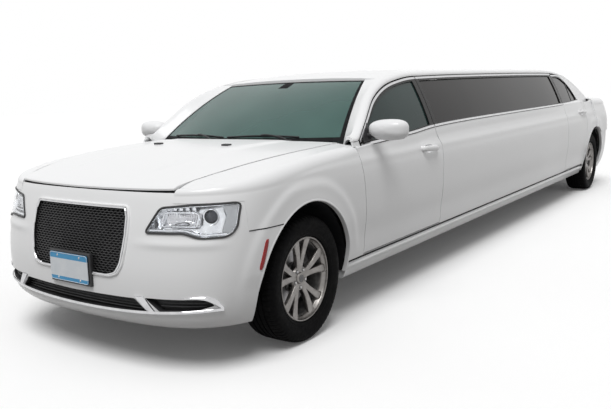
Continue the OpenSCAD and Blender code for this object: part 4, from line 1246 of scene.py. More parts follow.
def on_nose(yz, out=0.0):
    """Points on the nose's surface, moved out by a distance along its normal in plan."""
    yz = np.asarray(yz, float)
    y, z = yz[:, 0], yz[:, 1]
    p = nose_yz(y, z)
    q = nose_yz(np.sign(y + 1e-9) * (np.abs(y) + 1), z)
    n = np.stack([np.abs(q[:, 1] - p[:, 1]), (p[:, 0] - q[:, 0]) * np.sign(y + 1e-9), 0 * z], 1)
    n /= np.linalg.norm(n, axis=1, keepdims=True)
    return p + n * out


GRILLE_HALF = [(270, 497), (322, 512), (350, 556), (364, 630), (370, 710), (366, 785), (348, 834)]
GRILLE_Z = [500, 514, 540, 560, 630, 710, 785, 815, 834]
GRILLE_W = [262, 312, 338, 350, 362, 368, 364, 356, 340]
GRILLE = rounded(GRILLE_HALF + [(-y, z) for y, z in GRILLE_HALF[::-1]], 17, 4)
INTAKE = rounded([(512, 325), (436, 392), (0, 386), (-436, 392), (-512, 325), (0, 313)], 9)
LAMP = rounded([(488, 720), (692, 724), (762, 700), (868, 702), (888, 742), (886, 862), (720, 858),
                (556, 842)], 24)
FOG = rounded([(500, 400), (796, 402), (815, 366), (742, 343), (574, 336)], 9)


def bumper_face(t, z):
    """The bumper cover's surface: the nose with a lip at its foot and a brow over the fog pockets."""
    p = nose_pt(t, z)
    lip = 10 * np.exp(-(((z - 270) / 34) ** 2))
    ends = np.clip((np.abs(t) - 0.42) * 6, 0, 1) * np.clip((0.93 - np.abs(t)) * 14, 0, 1)
    brow = 7 * np.exp(-(((z - 668) / 20) ** 2)) * ends
    p[..., 0] += lip + brow - 3
    p[..., 1] += np.sign(t) * flare(p[..., 0], np.maximum(z, 420)) * np.clip((np.abs(t) - 0.9) * 12, 0, 1)
    return p


def patch(outline, depth, thick, mat):
    """A piece of the nose's surface inside an outline, set back by depth."""
    ys = lin(outline[:, 0].min() - 6, outline[:, 0].max() + 6, 44)
    zs = lin(outline[:, 1].min() - 6, outline[:, 1].max() + 6, 20)
    g = grid(lambda z, y: nose_yz(y, z), zs, ys) - [depth, 0, 0]
    inside = prism(outline, "x", FA - 600, NOSE + 300)
    return remat(carve(shell(g, g - [thick, 0, 0]), [inside], True), mat)


def well(outline, depth, mat, out):
    """The wall round a recess: from the outline, set out from the surface, straight back."""
    p = dense(outline, 12)
    p = np.vstack([p, p[:1]])
    a = on_nose(p, out)
    b = a - [depth, 0, 0]
    c = p.mean(0)
    inward = np.stack([0 * p[:, 0], (c[0] - p[:, 0]) * 0.012, (c[1] - p[:, 1]) * 0.012], 1)
    return shell(np.stack([a, b]), np.stack([a + inward, b + inward]), (mat, mat, mat))


def cutter(outline):
    """A block along X that cuts an outline out of the nose."""
    return prism(outline, "x", FA + 300, NOSE + 400)


def fog_pocket(s):
    """One side's dark recess behind the fog pocket, with its slats and bright hook."""
    fog = FOG * [s, 1]
    parts = [patch(fog, 46, 4, 2), well(fog, 48, 2, -2)]
    for k in (0.33, 0.66):
        row = np.stack([lin(560 + 50 * k, 790, 24) * s, np.full(25, 343 + 52 * k)], 1)
        parts.append(tube(on_nose(row, -26), 4, 8, False, 2))
    path = spline([(700, 407), (748, 410), (790, 406), (818, 388), (834, 362), (838, 348)])
    radius = np.interp(path[:, 0], [700, 748, 790, 818, 838], [2.0, 6, 10, 13, 8])
    parts.append(tube(on_nose(path * [s, 1], 1), radius, 10, False, 1, 0.8))
    return parts


def divider(s):
    """The bright slanted divider between the intake and a fog pocket."""
    edge = np.linspace(0, 1, 16)
    cols = []
    for w, out in ((0, -4), (0.1, 5), (0.5, 9), (0.9, 5), (1, -4)):
        y = (436 + 60 * w) + (516 - 436 - 14 * w) * edge
        z = 404 + (324 - 404) * edge + 2 * w
        cols.append(on_nose(np.stack([y * s, z], 1), out))
    g = np.stack(cols)
    return remat(shell(g, g - [7, 0, 0]), 1)


def shut_line(s):
    """The dark line between the bumper cover and the fender."""
    xs = lin(SEAM_X - 2, FRONT_ARCH_X + 240, 16)
    zs = np.full(len(xs), NOSE_SEAM + 0.4)
    return tube(np.stack([xs, s * (side_y(xs, zs) + 0.4), zs], 1), 1.6, 6, False, 2)


def bumper():
    zs = np.concatenate([[232], lin(236, FRONT_TOP, 64)])
    g = grid(lambda z, s: bumper_face(s, z), zs, packed(150, 2.2))
    g[0] -= [6, 0, 0]
    hood_side = float(lid_edge(LID_NOSE)) + GAP - SEAM
    cuts = [cutter(GRILLE), cutter(INTAKE), arch(FRONT_ARCH_X), flip(arch(FRONT_ARCH_X))]
    for s in (1, -1):
        for c in (box([0, 0, NOSE_SEAM], [SEAM_X, HALF + 50, 1000]),
                  box([SEAM_X - 1, hood_side, LAMP_TOP - SEAM], [NOSE, HALF + 50, 1000]),
                  cutter(LAMP), cutter(FOG)):
            cuts.append(on_side(c, s))
    parts = [carve(sheet(g, -SKIN), cuts)]
    collar = dense(GRILLE * [1.035, 1.0] + (GRILLE - [0, 667]) * [0, 0.04], 16)
    parts.append(tube(on_nose(collar, -2), 8, 10, True, 0))
    parts.append(tube(on_nose(dense(GRILLE, 12), 3), 5.0, 8, True, 1))
    for s in (1, -1):
        parts += fog_pocket(s) + [divider(s), shut_line(s)]
    # the bright strip along the foot
    strip = np.stack([lin(-838, 838, 120), np.zeros(121)], 1)
    y = np.abs(strip[:, 0])
    strip[:, 1] = np.minimum(314 + 16 * (y / 561) ** 2 - np.clip(y - 640, 0, 300) * 0.01, 345)
    parts.append(tube(on_nose(strip, 7), 7.5, 10, False, 1, 0.75))
    # the intake's recess and slats
    parts += [patch(INTAKE, 60, 4, 2), well(INTAKE, 62, 2, -2)]
    for z in (334, 350, 366, 382):
        row = np.stack([lin(-470, 470, 60), np.full(61, z)], 1)
        parts.append(tube(on_nose(row, -30), 3.5, 6, False, 2))
    place("bumper_cover", join(parts), "body", [WHITE, CHROME, BLACK], ["front_bumper"])


def grille():
    parts = [patch(GRILLE, 42, 5, 0), well(GRILLE, 44, 0, -3)]
    for i, z in enumerate(np.arange(508, 832, 12.5)):
        half = float(np.interp(z, GRILLE_Z, GRILLE_W)) - 5
        y = lin(-half, half, int(half / 3.2))
        wave = 2.6 * np.sin(y / 30 * 2 * math.pi + (i % 2) * math.pi)
        p = on_nose(np.stack([y, z + wave], 1), -9)
        parts.append(tube(p, 2.7, 6, False, 1))
    place("grille_mesh", join(parts), "body", [LINER, GRILLE_BAR], ["grille"], 50)


def turned(profile, centre, forward, segs=40, mat=0):
    """A round piece turned about the line from a point: profile is (distance forward, radius)."""
    f = Vector(forward).normalized()
    a = f.cross(Vector((0, 0, 1))).normalized()
    b = a.cross(f)
    pr = np.asarray(profile, float)
    t = np.linspace(0, 2 * math.pi, segs, endpoint=False)
    ring = np.cos(t)[:, None] * np.array(a) + np.sin(t)[:, None] * np.array(b)
    v = np.asarray(centre, float) + pr[None, :, :1] * np.array(f) + ring[:, None, :] * pr[None, :, 1:]
    m, faces = len(pr), []
    for i in range(segs):
        j = (i + 1) % segs
        for k in range(m - 1):
            faces.append([i * m + k, i * m + k + 1, j * m + k + 1, j * m + k])
    faces.append([i * m for i in range(segs)])
    faces.append([i * m + m - 1 for i in range(segs)][::-1])
    return v.reshape(-1, 3), faces, [mat] * len(faces)


def reflector(s):
    """The lamp's inner reflector: a shallow ribbed tray in a bright frame."""
    def tray(z, y):
        u, v = (y - 656) / 82, (z - 784) / 28
        p = nose_yz(y, z)
        p[..., 0] -= 40 + 16 * (1 - u**2) * (1 - v**2) + 1.2 * np.cos(u * 44)
        return p

    g = grid(tray, lin(756, 812, 12), lin(574, 738, 28)) * [1, s, 1]
    frame_line = rounded([(568, 750), (744, 748), (748, 806), (724, 818), (580, 816), (568, 800)], 12)
    return [shell(g, g - [3, 0, 0], (2, 2, 2)),
            tube(on_nose(dense(frame_line * [s, 1], 10), -26), 5, 8, True, 0)]


def projector(s, forward):
    """A ring round a dark glass dome."""
    c = on_nose(np.array([[800 * s, 797]]), -34)[0]
    ring = [(-34, 30), (-6, 34), (2, 38), (8, 41), (12, 39), (10, 34), (2, 31), (-20, 28)]
    dome = [(-20, 28.5), (2, 28.5), (12, 24), (18, 16), (21, 8), (22, 1)]
    return [turned(ring, c, forward, 48, 0), turned(dome, c, forward, 40, 3)]


def headlamps():
    for s, name in ((1, "left"), (-1, "right")):
        line = LAMP * [s, 1]
        inner = (line - line.mean(0)) * 0.985 + line.mean(0)
        forward = (0.9, 0.42 * s, 0.0)
        parts = [patch(line, 74, 4, 0), well(line, 76, 0, -3)]
        parts.append(tube(on_nose(dense(line, 10), 0), 5.5, 8, True, 1))
        parts.append(tube(on_nose(dense(inner, 10), -7), 4.5, 8, True, 0))
        parts += reflector(s) + projector(s, forward)
        # bright lines along the lamp's foot and top, and the pale outer corner
        low = spline([(498, 730), (600, 731), (690, 732), (750, 716), (800, 711), (862, 713)]) * [s, 1]
        parts.append(tube(on_nose(low, -16), 8, 8, False, 0))
        top = spline([(562, 834), (640, 842), (740, 850), (876, 853)]) * [s, 1]
        parts.append(tube(on_nose(top, -16), 5, 8, False, 0))
        corner = rounded([(838, 722), (868, 716), (881, 745), (880, 850), (826, 848), (846, 800)], 8)
        parts.append(patch(corner * [s, 1], 16, 3, 4))
        # a row of five small round cells along the top
        for y in (590, 622, 654, 686, 718):
            c = on_nose(np.array([[y * s, 832 - (640 - y) * 0.02]]), -30)[0]
            parts.append(turned([(-8, 10), (0, 12), (2, 11), (-4, 8)], c, forward, 20, 0))
        mats = [BEZEL, BLACK, CHROME, PROJECTOR, PALE_LENS]
        place(f"{name}_lamp_body", join(parts), "body", mats)
        lens = patch(line, 2, 3, 0)
        place(f"{name}_lamp_lens", lens, "body", [LENS], ["headlamps"] if s > 0 else [])


def plate():
    x, w = NOSE - 1, PLATE_HALF_W
    parts = [box([x - 36, -163, 418], [x - 9, 163, 594], 0, 5),
             box([x - 8, -148, 434], [x - 5, 148, 578], 0, 1)]
    line = rounded([(-w, PLATE_LOW), (w, PLATE_LOW), (w, PLATE_HIGH), (-w, PLATE_HIGH)], 14)

    def board(z0, z1, mat):
        """The part of the plate between two heights."""
        o = [(y, min(max(z, z0), z1)) for y, z in line]
        keep = [o[0]]
        for q in o[1:]:
            if np.hypot(q[0] - keep[-1][0], q[1] - keep[-1][1]) > 0.2:
                keep.append(q)
        return prism(keep, "x", x - 4, x - 0.6, mat)

    parts += [board(PLATE_LOW, 452, 2), board(452.2, 549.8, 1), board(550, PLATE_HIGH, 2)]
    edge = dense(line * [0.985, 1] + (line - [0, PLATE_MID]) * [0, -0.03], 12)
    parts.append(tube(np.stack([np.full(len(edge), x - 0.8), edge[:, 0], edge[:, 1]], 1), 1.6, 6, True, 1))
    for y in (-SCREW_Y, SCREW_Y):
        for z in (PLATE_MID - SCREW_Z, PLATE_MID + SCREW_Z):
            parts.append(turned([(-4, 6), (-0.6, 6), (0.8, 5), (1.0, 1)], (x, y, z), (1, 0, 0), 18, 3))
    mats = [BLACK, PLATE_WHITE, PLATE_BLUE, STEEL]
    place("number_plate", join(parts), "body", mats, ["licence_plate"])


def side_trim():
    parts = []
    for s in (1, -1):
        k = lin(0, 1, 20)
        x0, z0 = 3858 + (3808 - 3858) * k, 514 + (661 - 514) * k
        cols = []
        for w, o in ((-13, -1), (-10, 3), (-4, 4), (4, 4), (10, 3), (13, -1)):
            w = w * (1 - np.abs(2 * k - 1) ** 8 * 0.5)
            cols.append(np.stack([x0 + w, s * (side_y(x0 + w, z0) + flare(x0 + w, z0) + o), z0], 1))
        g = np.stack(cols)
        parts.append(shell(g, g - [0, 4 * s, 0]))
    place("side_reflectors", join(parts), "body", [RED])


def outward(g, centre):
    """Unit directions away from an axle, in the side view."""
    d = (g - centre) * [1, 0, 1]
    return d / np.linalg.norm(d, axis=-1, keepdims=True)


def arches():
    lips, liners = [], []
    for cx, a0, a1 in ((FRONT_ARCH_X, -11, 186), (RA, -8, 186)):
        a = np.radians(lin(a0, a1, 90))
        rows = []
        for dr, o in ((7, 0.5), (3, 2.0), (-1, 2.0), (-4, -1), (-4.5, -24)):
            x, z = cx + (ARCH_R + dr) * np.cos(a), ARCH_Z + (ARCH_R + dr) * np.sin(a)
            rx, rz = cx + (ARCH_R + 5) * np.cos(a), ARCH_Z + (ARCH_R + 5) * np.sin(a)
            rows.append(np.stack([x, side_y(rx, rz) + flare(rx, rz) + o, z], 1))
        g = np.stack(rows)
        c = np.array([cx, 0, ARCH_Z])
        lips.append(shell(g, g + outward(g, c) * 3 - [0, 2, 0]))
        rows = []
        for y, dr in ((HALF - 40, 1.0), (HALF - 120, 3.0), (HALF - 240, 3.0), (HALF - 352, 3.0)):
            rr = ARCH_R + dr + 1.5 * np.sin(a * 24)
            x, z = cx + rr * np.cos(a), ARCH_Z + rr * np.sin(a)
            rows.append(np.stack([x, np.minimum(y, side_y(x, z) - 22), z], 1))
        g = np.stack(rows)
        liners.append(shell(g, g + outward(g, c) * 3))
    place("arch_lips", both(join(lips)), "body", [WHITE])
    place("arch_liners", both(join(liners)), "body", [LINER])


def wipers():
    parts = []
    for t0, t1, tp, up in ((-0.78, -0.06, -0.12, 0.05), (-0.02, 0.66, 0.62, 0.05)):
        t = lin(t0, t1, 24)
        u = up + 0.02 * np.sin((t - t0) / (t1 - t0) * math.pi)
        lift = np.array([0.5, 0, 0.86])
        base = np.array([screen_pt(a, b) for a, b in zip(t, u)])
        parts.append(tube(base + lift * 5, 3.2, 6, False, 0, 0.6))
        parts.append(tube(base + lift * 11, 4.5, 8, False, 0, 0.7))
        mid = base[len(base) // 2] + lift * 15
        foot = screen_pt(tp, 0.0) + np.array([34, 0, 4])
        reach = mid - foot
        arm = spline([foot, foot + reach * 0.3 + [0, 0, 16], foot + reach * 0.75 + [0, 0, 12], mid])
        parts.append(tube(arm, np.interp(np.arange(len(arm)), [0, len(arm) - 1], [9, 5]), 8, False, 0, 0.6))
        parts.append(turned([(-10, 15), (8, 15), (13, 11), (15, 1)], foot, (0.3, 0, 1), 24, 0))
    place("wipers", join(parts), "body", [BLACK])


def inside_mirror():
    """The mirror and its housing behind the top of the windscreen."""
    c = screen_pt(0.0, 0.86) + np.array([-62, 0, -42])
    m = [box(c - [10, 118, 32], c + [12, 118, 32], 0, 9),
         box(c - [12, 110, 26], c - [10.4, -110, -26], 1, 0.5)]
    m.append(tube([screen_pt(0, 0.9) - [14, 0, 6], c + [0, 0, 20]], 9, 10, False, 0))
    place("inside_mirror", join(m), "body", [BLACK, CHROME])


def mirror_shell(cx, cy, cz):
    """The mirror's cap: rounded ahead, with a flat black face to the rear."""
    n, m = 26, 48
    a = np.linspace(0, 2 * math.pi, m, endpoint=False)
    ca, sa = np.cos(a), np.sin(a)
    wide = np.sign(ca) * np.abs(ca) ** (2 / 3.0) * 126
    tall = np.sign(sa) * np.abs(sa) ** (2 / 3.0) * (65 - 9 * np.clip(-ca, 0, 1))
    rows = []
    for k in lin(0, 1, n):
        w = math.sqrt(max(1 - max(k - 0.05, 0) ** 2.6 / 0.95**2.6, 0.0)) if k > 0.05 else 0.985
        w = max(w, 0.02)
        rows.append(np.stack([cx - 34 + 98 * k + 0 * a, cy + wide * w - 10 * k, cz + tall * w + 4 * k], 1))
    v, faces, _ = loft(rows)
    return v, faces, [0] * (len(faces) - 2) + [1, 0]


def mirror_face(cx, cy, cz):
    a = np.linspace(0, 2 * math.pi, 48, endpoint=False)
    ca, sa = np.cos(a), np.sin(a)
    y = cy + np.sign(ca) * np.abs(ca) ** 0.66 * 112
    z = cz + np.sign(sa) * np.abs(sa) ** 0.66 * 53
    return prism(np.stack([y, z], 1), "x", cx - 37.5, cx - 34.2, 2)


def mirror_foot(cx, cy):
    """Three bars from the door's corner out to the cap, and the black corner plate itself."""
    parts = []
    for d in (-20, 0, 20):
        root = [cx + d, float(upper_y(cx, 1092)) + 2, 1090]
        line = [root, [cx + d, cy - 60, 1094], [cx + d, cy - 20, 1104]]
        parts.append(tube(line, 15, 12, False, 1, 1.2, (1, 0, 0)))
    o = rounded([[FA - 800, 1062], [FA - 690, 1052], [FA - 706, 1092], [FA - 800, 1172]], 8)
    g = np.stack([o[:, 0], upper_y(o[:, 0], o[:, 1]) + 0.6, o[:, 1]], 1)
    _, faces, mats = prism(o, "y", 0, 5, 1)
    return parts + [(np.concatenate([g, g + [0, 5, 0]]), faces, mats)]


def door_mirrors():
    cx, cy, cz = MIRROR_AT
    part = join([mirror_shell(cx, cy, cz), mirror_face(cx, cy, cz)] + mirror_foot(cx, cy))
    for s, side in ((1, "left"), (-1, "right")):
        place(f"{side}_mirror_cap", on_side(part, s), f"{side}_front_door", [WHITE, BLACK, CHROME],
              [f"{side}_mirror"], 40)


bumper()
grille()
headlamps()
plate()
side_trim()
arches()
wipers()
inside_mirror()
door_mirrors()


# ---------------------------------------------------------------- wheels
def tyre_ring(centre):
    prof = [(-92, 237.4), (-104, 243), (-108, 252), (-110.5, 258), (-109.5, 262), (-113, 276), (-116.5, 296),
            (-117.2, 306), (-116, 318), (-112.5, 330), (-108, 339), (-101, 346), (-92, 350.5), (-80, 353),
            (-66, 354.2), (-55, 354.6), (-54, 347.5), (-46, 347.5), (-45, 354.8), (-20, 355), (-19, 347.5),
            (-11, 347.5), (-10, 355), (0, 355)]
    full = prof + [(-y, r) for y, r in prof[-2::-1]]

    def wave(a, y, r):
        """Slanted cuts in the tread's shoulders and in its inner ribs."""
        n = a * TREAD_STEPS / (2 * math.pi)
        shoulder = (np.mod(n + y / 240, 1) < 0.22) & (np.abs(y) > 57) & (r > 338)
        mid = (np.mod(n * 1.5 - y / 90, 1) < 0.16) & (np.abs(y) < 44) & (np.abs(y) > 21) & (r > 350)
        return np.where(shoulder, -4.5, 0) + np.where(mid, -4.0, 0)

    return lathe(full + [(80, 237.4), (-80, 237.4)], 288, centre, 0, True, wave)


def spoke(centre, base, side):
    """One of a pair of spokes: it leaves the hub beside its neighbour and widens towards the rim."""
    rows = []
    for k in lin(0, 1, 14):
        angle = math.radians(base + side * (8.5 + 6.5 * k**1.3))
        w = 18 - 2.5 * math.sin(math.pi * k) + 9 * k**2
        face = 66 + 17 * k**1.5 - 6 * (1 - k) ** 3
        thick = 30 - 10 * k
        section = [(-w, -thick), (-w * 1.02, -6), (-w * 0.86, -1.5), (side * w * 0.35, 1.5), (w * 0.86, -1.5),
                   (w * 1.02, -6), (w, -thick)]
        out = np.array([math.cos(angle), 0, math.sin(angle)])
        across = np.array([-math.sin(angle), 0, math.cos(angle)])
        rows.append([np.asarray(centre) + out * (40 + k * 188) + across * a + np.array([0, face + b, 0])
                     for a, b in section])
    return loft(rows)


def bolt(x, z):
    """A wheel bolt in its seat."""
    c = (x, WHEEL_Y, z)
    return [lathe([(60, 11.5), (61.4, 12.5), (61.6, 9.5), (56, 8.8), (56, 11)], 24, c, 1, True),
            lathe([(50, 8.4), (64, 8.4), (66.5, 6.5), (67, 0.5)], 6, c, 2)]


def rim(x):
    """The rim with its spokes and bolts, its valve, the brake disc and the hub behind it."""
    c = (x, WHEEL_Y, AXLE_Z)
    ring = [(-95, 236.8), (94, 236.8), (97, 234), (98, 230.5), (96, 227), (90, 225.5), (82, 224), (74, 216),
            (64, 212), (20, 207), (-58, 205), (-84, 224), (-95, 231)]
    drum = [(60, 210.5), (20, 205.5), (-56, 203.5), (-56, 200), (20, 202), (60, 207)]
    middle = [(34, 0.5), (34, 66), (50, 71), (60, 66), (61, 40), (58, 33), (65, 31), (67.5, 28), (68.5, 16),
              (69, 0.5)]
    parts = [lathe(ring, 144, c, 0, True), lathe(drum, 96, c, 1, True), lathe(middle, 72, c, 0)]
    for i in range(SPOKE_PAIRS):
        base = 90 + i * 360 / SPOKE_PAIRS
        a = math.radians(base + 180 / SPOKE_PAIRS)
        parts += [spoke(c, base, 1), spoke(c, base, -1)]
        parts += bolt(x + BOLT_RING * math.cos(a), AXLE_Z + BOLT_RING * math.sin(a))
    valve = [[x + 196 * math.cos(1.1), WHEEL_Y + 88, AXLE_Z + 222 * math.sin(1.1)],
             [x + 100.7, WHEEL_Y + 100, AXLE_Z + 201]]
    parts.append(tube(valve, 3.2, 8, False, 1))
    parts.append(lathe([(-8, 84), (-8, 158), (-1, 160), (2, 158), (2, 84)], 96, c, 2, True))
    parts.append(lathe([(-14, 23), (-14, 84), (22, 84), (24, 78), (24, 23)], 60, c, 1, True))
    return join(parts)


def caliper(x):
    """The brake caliper: a curved block over the disc's upper rear edge."""
    section = [(118, -22), (118, 14), (140, 17), (168, 15), (176, 6), (176, -16), (168, -22)]
    return loft([[[x + r * math.cos(a), WHEEL_Y + y, AXLE_Z + r * math.sin(a)] for r, y in section]
                 for a in np.radians(lin(112, 172, 14))])


def wheel(x, s, name, carrier):
    tyre = tyre_ring((x, WHEEL_Y, AXLE_Z))
    place(f"{name}_wheel_rim", on_side(rim(x), s), f"{name}_wheel", [ALLOY, ALLOY_IN, STEEL],
          [f"{name}_rim"], 38)
    place(f"{name}_wheel_tyre", on_side(tyre, s), f"{name}_wheel", [RUBBER], [f"{name}_tyre"], 28)
    place(f"{name}_caliper", on_side(caliper(x), s), carrier, [CAST])


for side, s in (("left", 1), ("right", -1)):
    wheel(FA, s, f"front_{side}", f"{side}_knuckle")
for side, s in (("left", 1), ("right", -1)):
    wheel(RA, s, f"rear_{side}", "body")


def rear_wheelhouses():
    """A black housing round each rear wheel: an arched roof and an inner wall above the axle."""
    r, y_in, y_out = ARCH_R - 6, 645, 880
    a = np.radians(lin(16, 164, 60))

    def arc(radius, y):
        return xyz(RA + radius * np.cos(a), np.full(len(a), y), ARCH_Z + radius * np.sin(a))

    ys = lin(y_in, y_out, 12)
    roof = shell(np.stack([arc(r, y) for y in ys]), np.stack([arc(r + 4, y) for y in ys]))
    wall = prism(arc(r + 4, y_in)[:, [0, 2]], "y", y_in, y_in + 4, 0)
    place("rear_wheelhouses", both(join([roof, wall])), "body", [LINER])


rear_wheelhouses()


# ---------------------------------------------------------------- tail
def rear_bumper():
    g = grid(lambda z, s: tail_pt(s, z), lin(232, BUMPER_TOP, 40), packed(120, 2.2))
    g[..., 0] -= 8 * np.exp(-(((g[..., 2] - 300) / 40) ** 2))
    swell = flare(g[..., 0], np.maximum(g[..., 2], 420))
    g[..., 1] += np.sign(g[..., 1]) * swell * (np.abs(g[..., 1]) > HALF - 40)
    # the cover's sides run on forward to the arches
    side = []
    for end, s in ((0, -1), (-1, 1)):
        x0, z = g[:, end, 0], g[:, end, 2]
        for k in range(1, 6):
            x = x0 + (RA - 262 - x0) * k / 5
            side.append(xyz(x, s * (side_y(x, z) + flare(x, np.maximum(z, 420))), z)[:, None])
    g = np.concatenate(side[:5][::-1] + [g] + side[5:], 1)
    cuts = []
    for s in (1, -1):
        for c in (arch(RA), turned([(0, 42), (300, 42)], (TAIL - 50, PIPE_Y, PIPE_Z), (1, 0, 0), 48)):
            cuts.append(on_side(c, s))
    parts = [carve(sheet(g, SKIN), cuts)]
    for s in (1, -1):
        pipe = [(0, 40), (0, 46), (60, 44), (60, 39)]
        parts.append(turned(pipe, (TAIL + 24, PIPE_Y * s, PIPE_Z), (1, 0, 0), 40, 1))
        glow = np.array([tail_pt(k, 330) for k in lin(0.62, 0.82, 10)]) * [1, s, 1] - [3, 0, 0]
        parts.append(tube(glow, 12, 8, False, 2, 0.6))
    bar = np.array([tail_pt(k, 424) for k in lin(-0.9, 0.9, 60)]) - [2, 0, 0]
    parts.append(tube(bar, 6, 8, False, 1, 0.7))
    x = float(tail_at(500)) - 1
    parts.append(box([x - 5, -PLATE_HALF_W, 440], [x + 4, PLATE_HALF_W, 592], 3, 2))
    mats = [WHITE, CHROME, RED, PLATE_WHITE]
    place("rear_bumper_cover", join(parts), "body", mats, ["rear_bumper"])


def tail_lamps():
    g = grid(lambda z, s: tail_pt(s, z), lin(LAMP_Z0 - 40, LAMP_Z1 + 40, 30), lin(0.66, 0.975, 40))
    clear = GAP - FIT
    inside = box([TAIL - 50, LAMP_Y, LAMP_Z0 - clear], [LAMP_X + clear, HALF + 50, LAMP_Z1 + clear])
    lamps = [carve(sheet(g, 60), [inside], True)]
    for z in (846, 900, 954):
        row = np.array([tail_pt(k, z) for k in lin(0.72, 0.9, 20)]) - [1.5, 0, 0]
        lamps.append(tube(row, 3, 6, False, 1))
    place("tail_lamp_lenses", both(join(lamps)), "body", [RED, CHROME], ["tail_lamps"])


# ---------------------------------------------------------------- cabin
def crowned(lo, hi, crown, pinch, n=8):
    """A cushion's closed form: a rounded box whose faces swell and whose sides pull in between corners."""
    lo, hi = np.asarray(lo, float), np.asarray(hi, float)
    c, h = (lo + hi) / 2, (hi - lo) / 2
    bm = bmesh.new()
    bmesh.ops.create_cube(bm, size=2)
    bmesh.ops.subdivide_edges(bm, edges=list(bm.edges), cuts=n, use_grid_fill=True)
    v, f, _ = arrays(bm)
    bm.free()
    r = CUSHION_R
    inner = np.clip(v * h, -(h - r), h - r)
    d = v * h - inner
    ln = np.linalg.norm(d, axis=1, keepdims=True)
    p = inner + np.where(ln > 1e-6, d / np.maximum(ln, 1e-6) * np.minimum(ln, r), 0)
    q = p / h
    for a in range(3):
        b, e = (a + 1) % 3, (a + 2) % 3
        swell = np.clip(1 - q[:, b] ** 2, 0, 1) * np.clip(1 - q[:, e] ** 2, 0, 1)
        p[:, a] += np.sign(q[:, a]) * np.abs(q[:, a]) ** 3 * (crown * swell - pinch * (1 - swell))
    return p + c, f, [0] * len(f)


PUFF_VOXEL, PUFF_CAP, PUFF_PRESSURE, PUFF_FRAMES = 0.007, 0.012, 4.0, 20


def puff(part, name):
    """Swells a pad by a short cloth run under pressure, capped, and gives back its arrays."""
    ob = raw(part, name)
    m = ob.modifiers.new("remesh", "REMESH")
    m.mode, m.voxel_size = "VOXEL", PUFF_VOXEL
    deps = bpy.context.evaluated_depsgraph_get()
    me = bpy.data.meshes.new_from_object(ob.evaluated_get(deps))
    ob.modifiers.clear()
    ob.data = me
    rest = np.array([v.co[:] for v in me.vertices])
    cl = ob.modifiers.new("cloth", "CLOTH")
    st = cl.settings
    st.use_pressure, st.uniform_pressure_force, st.quality = True, PUFF_PRESSURE, 5
    st.tension_stiffness = st.compression_stiffness = 30
    st.effector_weights.gravity = 0
    cl.point_cache.frame_start, cl.point_cache.frame_end = 1, PUFF_FRAMES
    scene.frame_start, scene.frame_end = 1, PUFF_FRAMES
    for fr in range(1, PUFF_FRAMES + 1):
        scene.frame_set(fr)
    deps = bpy.context.evaluated_depsgraph_get()
    done = bpy.data.meshes.new_from_object(ob.evaluated_get(deps))
    now = np.array([v.co[:] for v in done.vertices])
    ob.modifiers.clear()
    if now.shape == rest.shape and np.isfinite(now).all():
        d = now - rest
        ln = np.linalg.norm(d, axis=1, keepdims=True)
        rest = rest + d / np.maximum(ln, 1e-9) * np.minimum(ln, PUFF_CAP)
    scene.frame_set(1)
    f = [list(p.vertices) for p in me.polygons]
    bpy.data.objects.remove(ob)
    return rest * 1000, f, [0] * len(f)


def front_seat():
    """The driver's seat: puffed cushion and backrest, bolsters along both sides, headrest and plinth."""
    y, w = DRIVER_Y, 520
    x0 = FA - 1080
    x1 = x0 - 500
    base = crowned([x1 + 20, y - w / 2 + 70, 430], [x0 - 8, y + w / 2 - 70, 582], 10, 4, 10)
    back = crowned([x1 - 140, y - w / 2 + 75, 560], [x1 - 22, y + w / 2 - 75, 1070], 9, 4, 10)
    pads = [puff(base, "seat_pad"), puff(back, "back_pad")]
    for s in (-1, 1):
        ya, yb = y + s * (w / 2 - 42), y + s * (w / 2 - 46)
        pads.append(crowned([x1 + 20, ya - 40, 420], [x0 - 14, ya + 40, 588], 6, 3))
        pads.append(crowned([x1 - 145, yb - 42, 570], [x1 - 4, yb + 42, 1040], 6, 3))
    pads.append(crowned([x1 - 135, y - 120, 1088], [x1 - 30, y + 120, 1146], 5, 3))
    pads.append(box([x1 + 30, y - w / 2 + 30, SEAT_FOOT], [x0 - 40, y + w / 2 - 30, 440], 2, 14))
    for s in (-1, 1):
        pads.append(tube([[x1 - 84, y + s * 60, 1040], [x1 - 84, y + s * 60, 1100]], 7, 10, False, 3))
    return join(pads)


def front_seats():
    part, mats = front_seat(), [LEATHER, LEATHER, TRIM, STEEL]
    a = place("driver_seat", part, "body", mats, ["front_seats"], 60)
    b = place("passenger_seat", flip(part), "body", mats, sharp=60)


def lounge():
    """A bench across the rear and a long one down the right side, each in sewn sections."""
    x0 = RA + 1010
    parts = []
    for y0 in (-640, 0):
        parts.append(crowned([x0 - 505, y0 + 6, SEAT_LOW], [x0 - 6, y0 + 634, SEAT_TOP], 9, 4))
        parts.append(crowned([x0 - 655, y0 + 6, 560], [x0 - 512, y0 + 634, 1140], 9, 4))
    y = 15 - INNER_Y
    xa, xb, n = RA + 1304, FA - 1960 - 64, 5
    for i in range(n):
        p, q = xa + (xb - xa) * i / n, xa + (xb - xa) * (i + 1) / n
        parts.append(crowned([p + 4, y + 110, SEAT_LOW], [q - 4, y + 514, SEAT_TOP], 8, 4))
        parts.append(crowned([p + 4, y + 6, 580], [q - 4, y + 122, 1032], 6, 4))
    parts.append(box([x0 - 640, -630, SEAT_FOOT], [x0 - 30, 630, 440], 1, 12))
    parts.append(box([xa, y + 10, SEAT_FOOT], [xb, y + 480, 440], 1, 12))
    c = place("lounge_benches", join(parts), "body", [LEATHER, TRIM], ["lounge_seats"], 60)


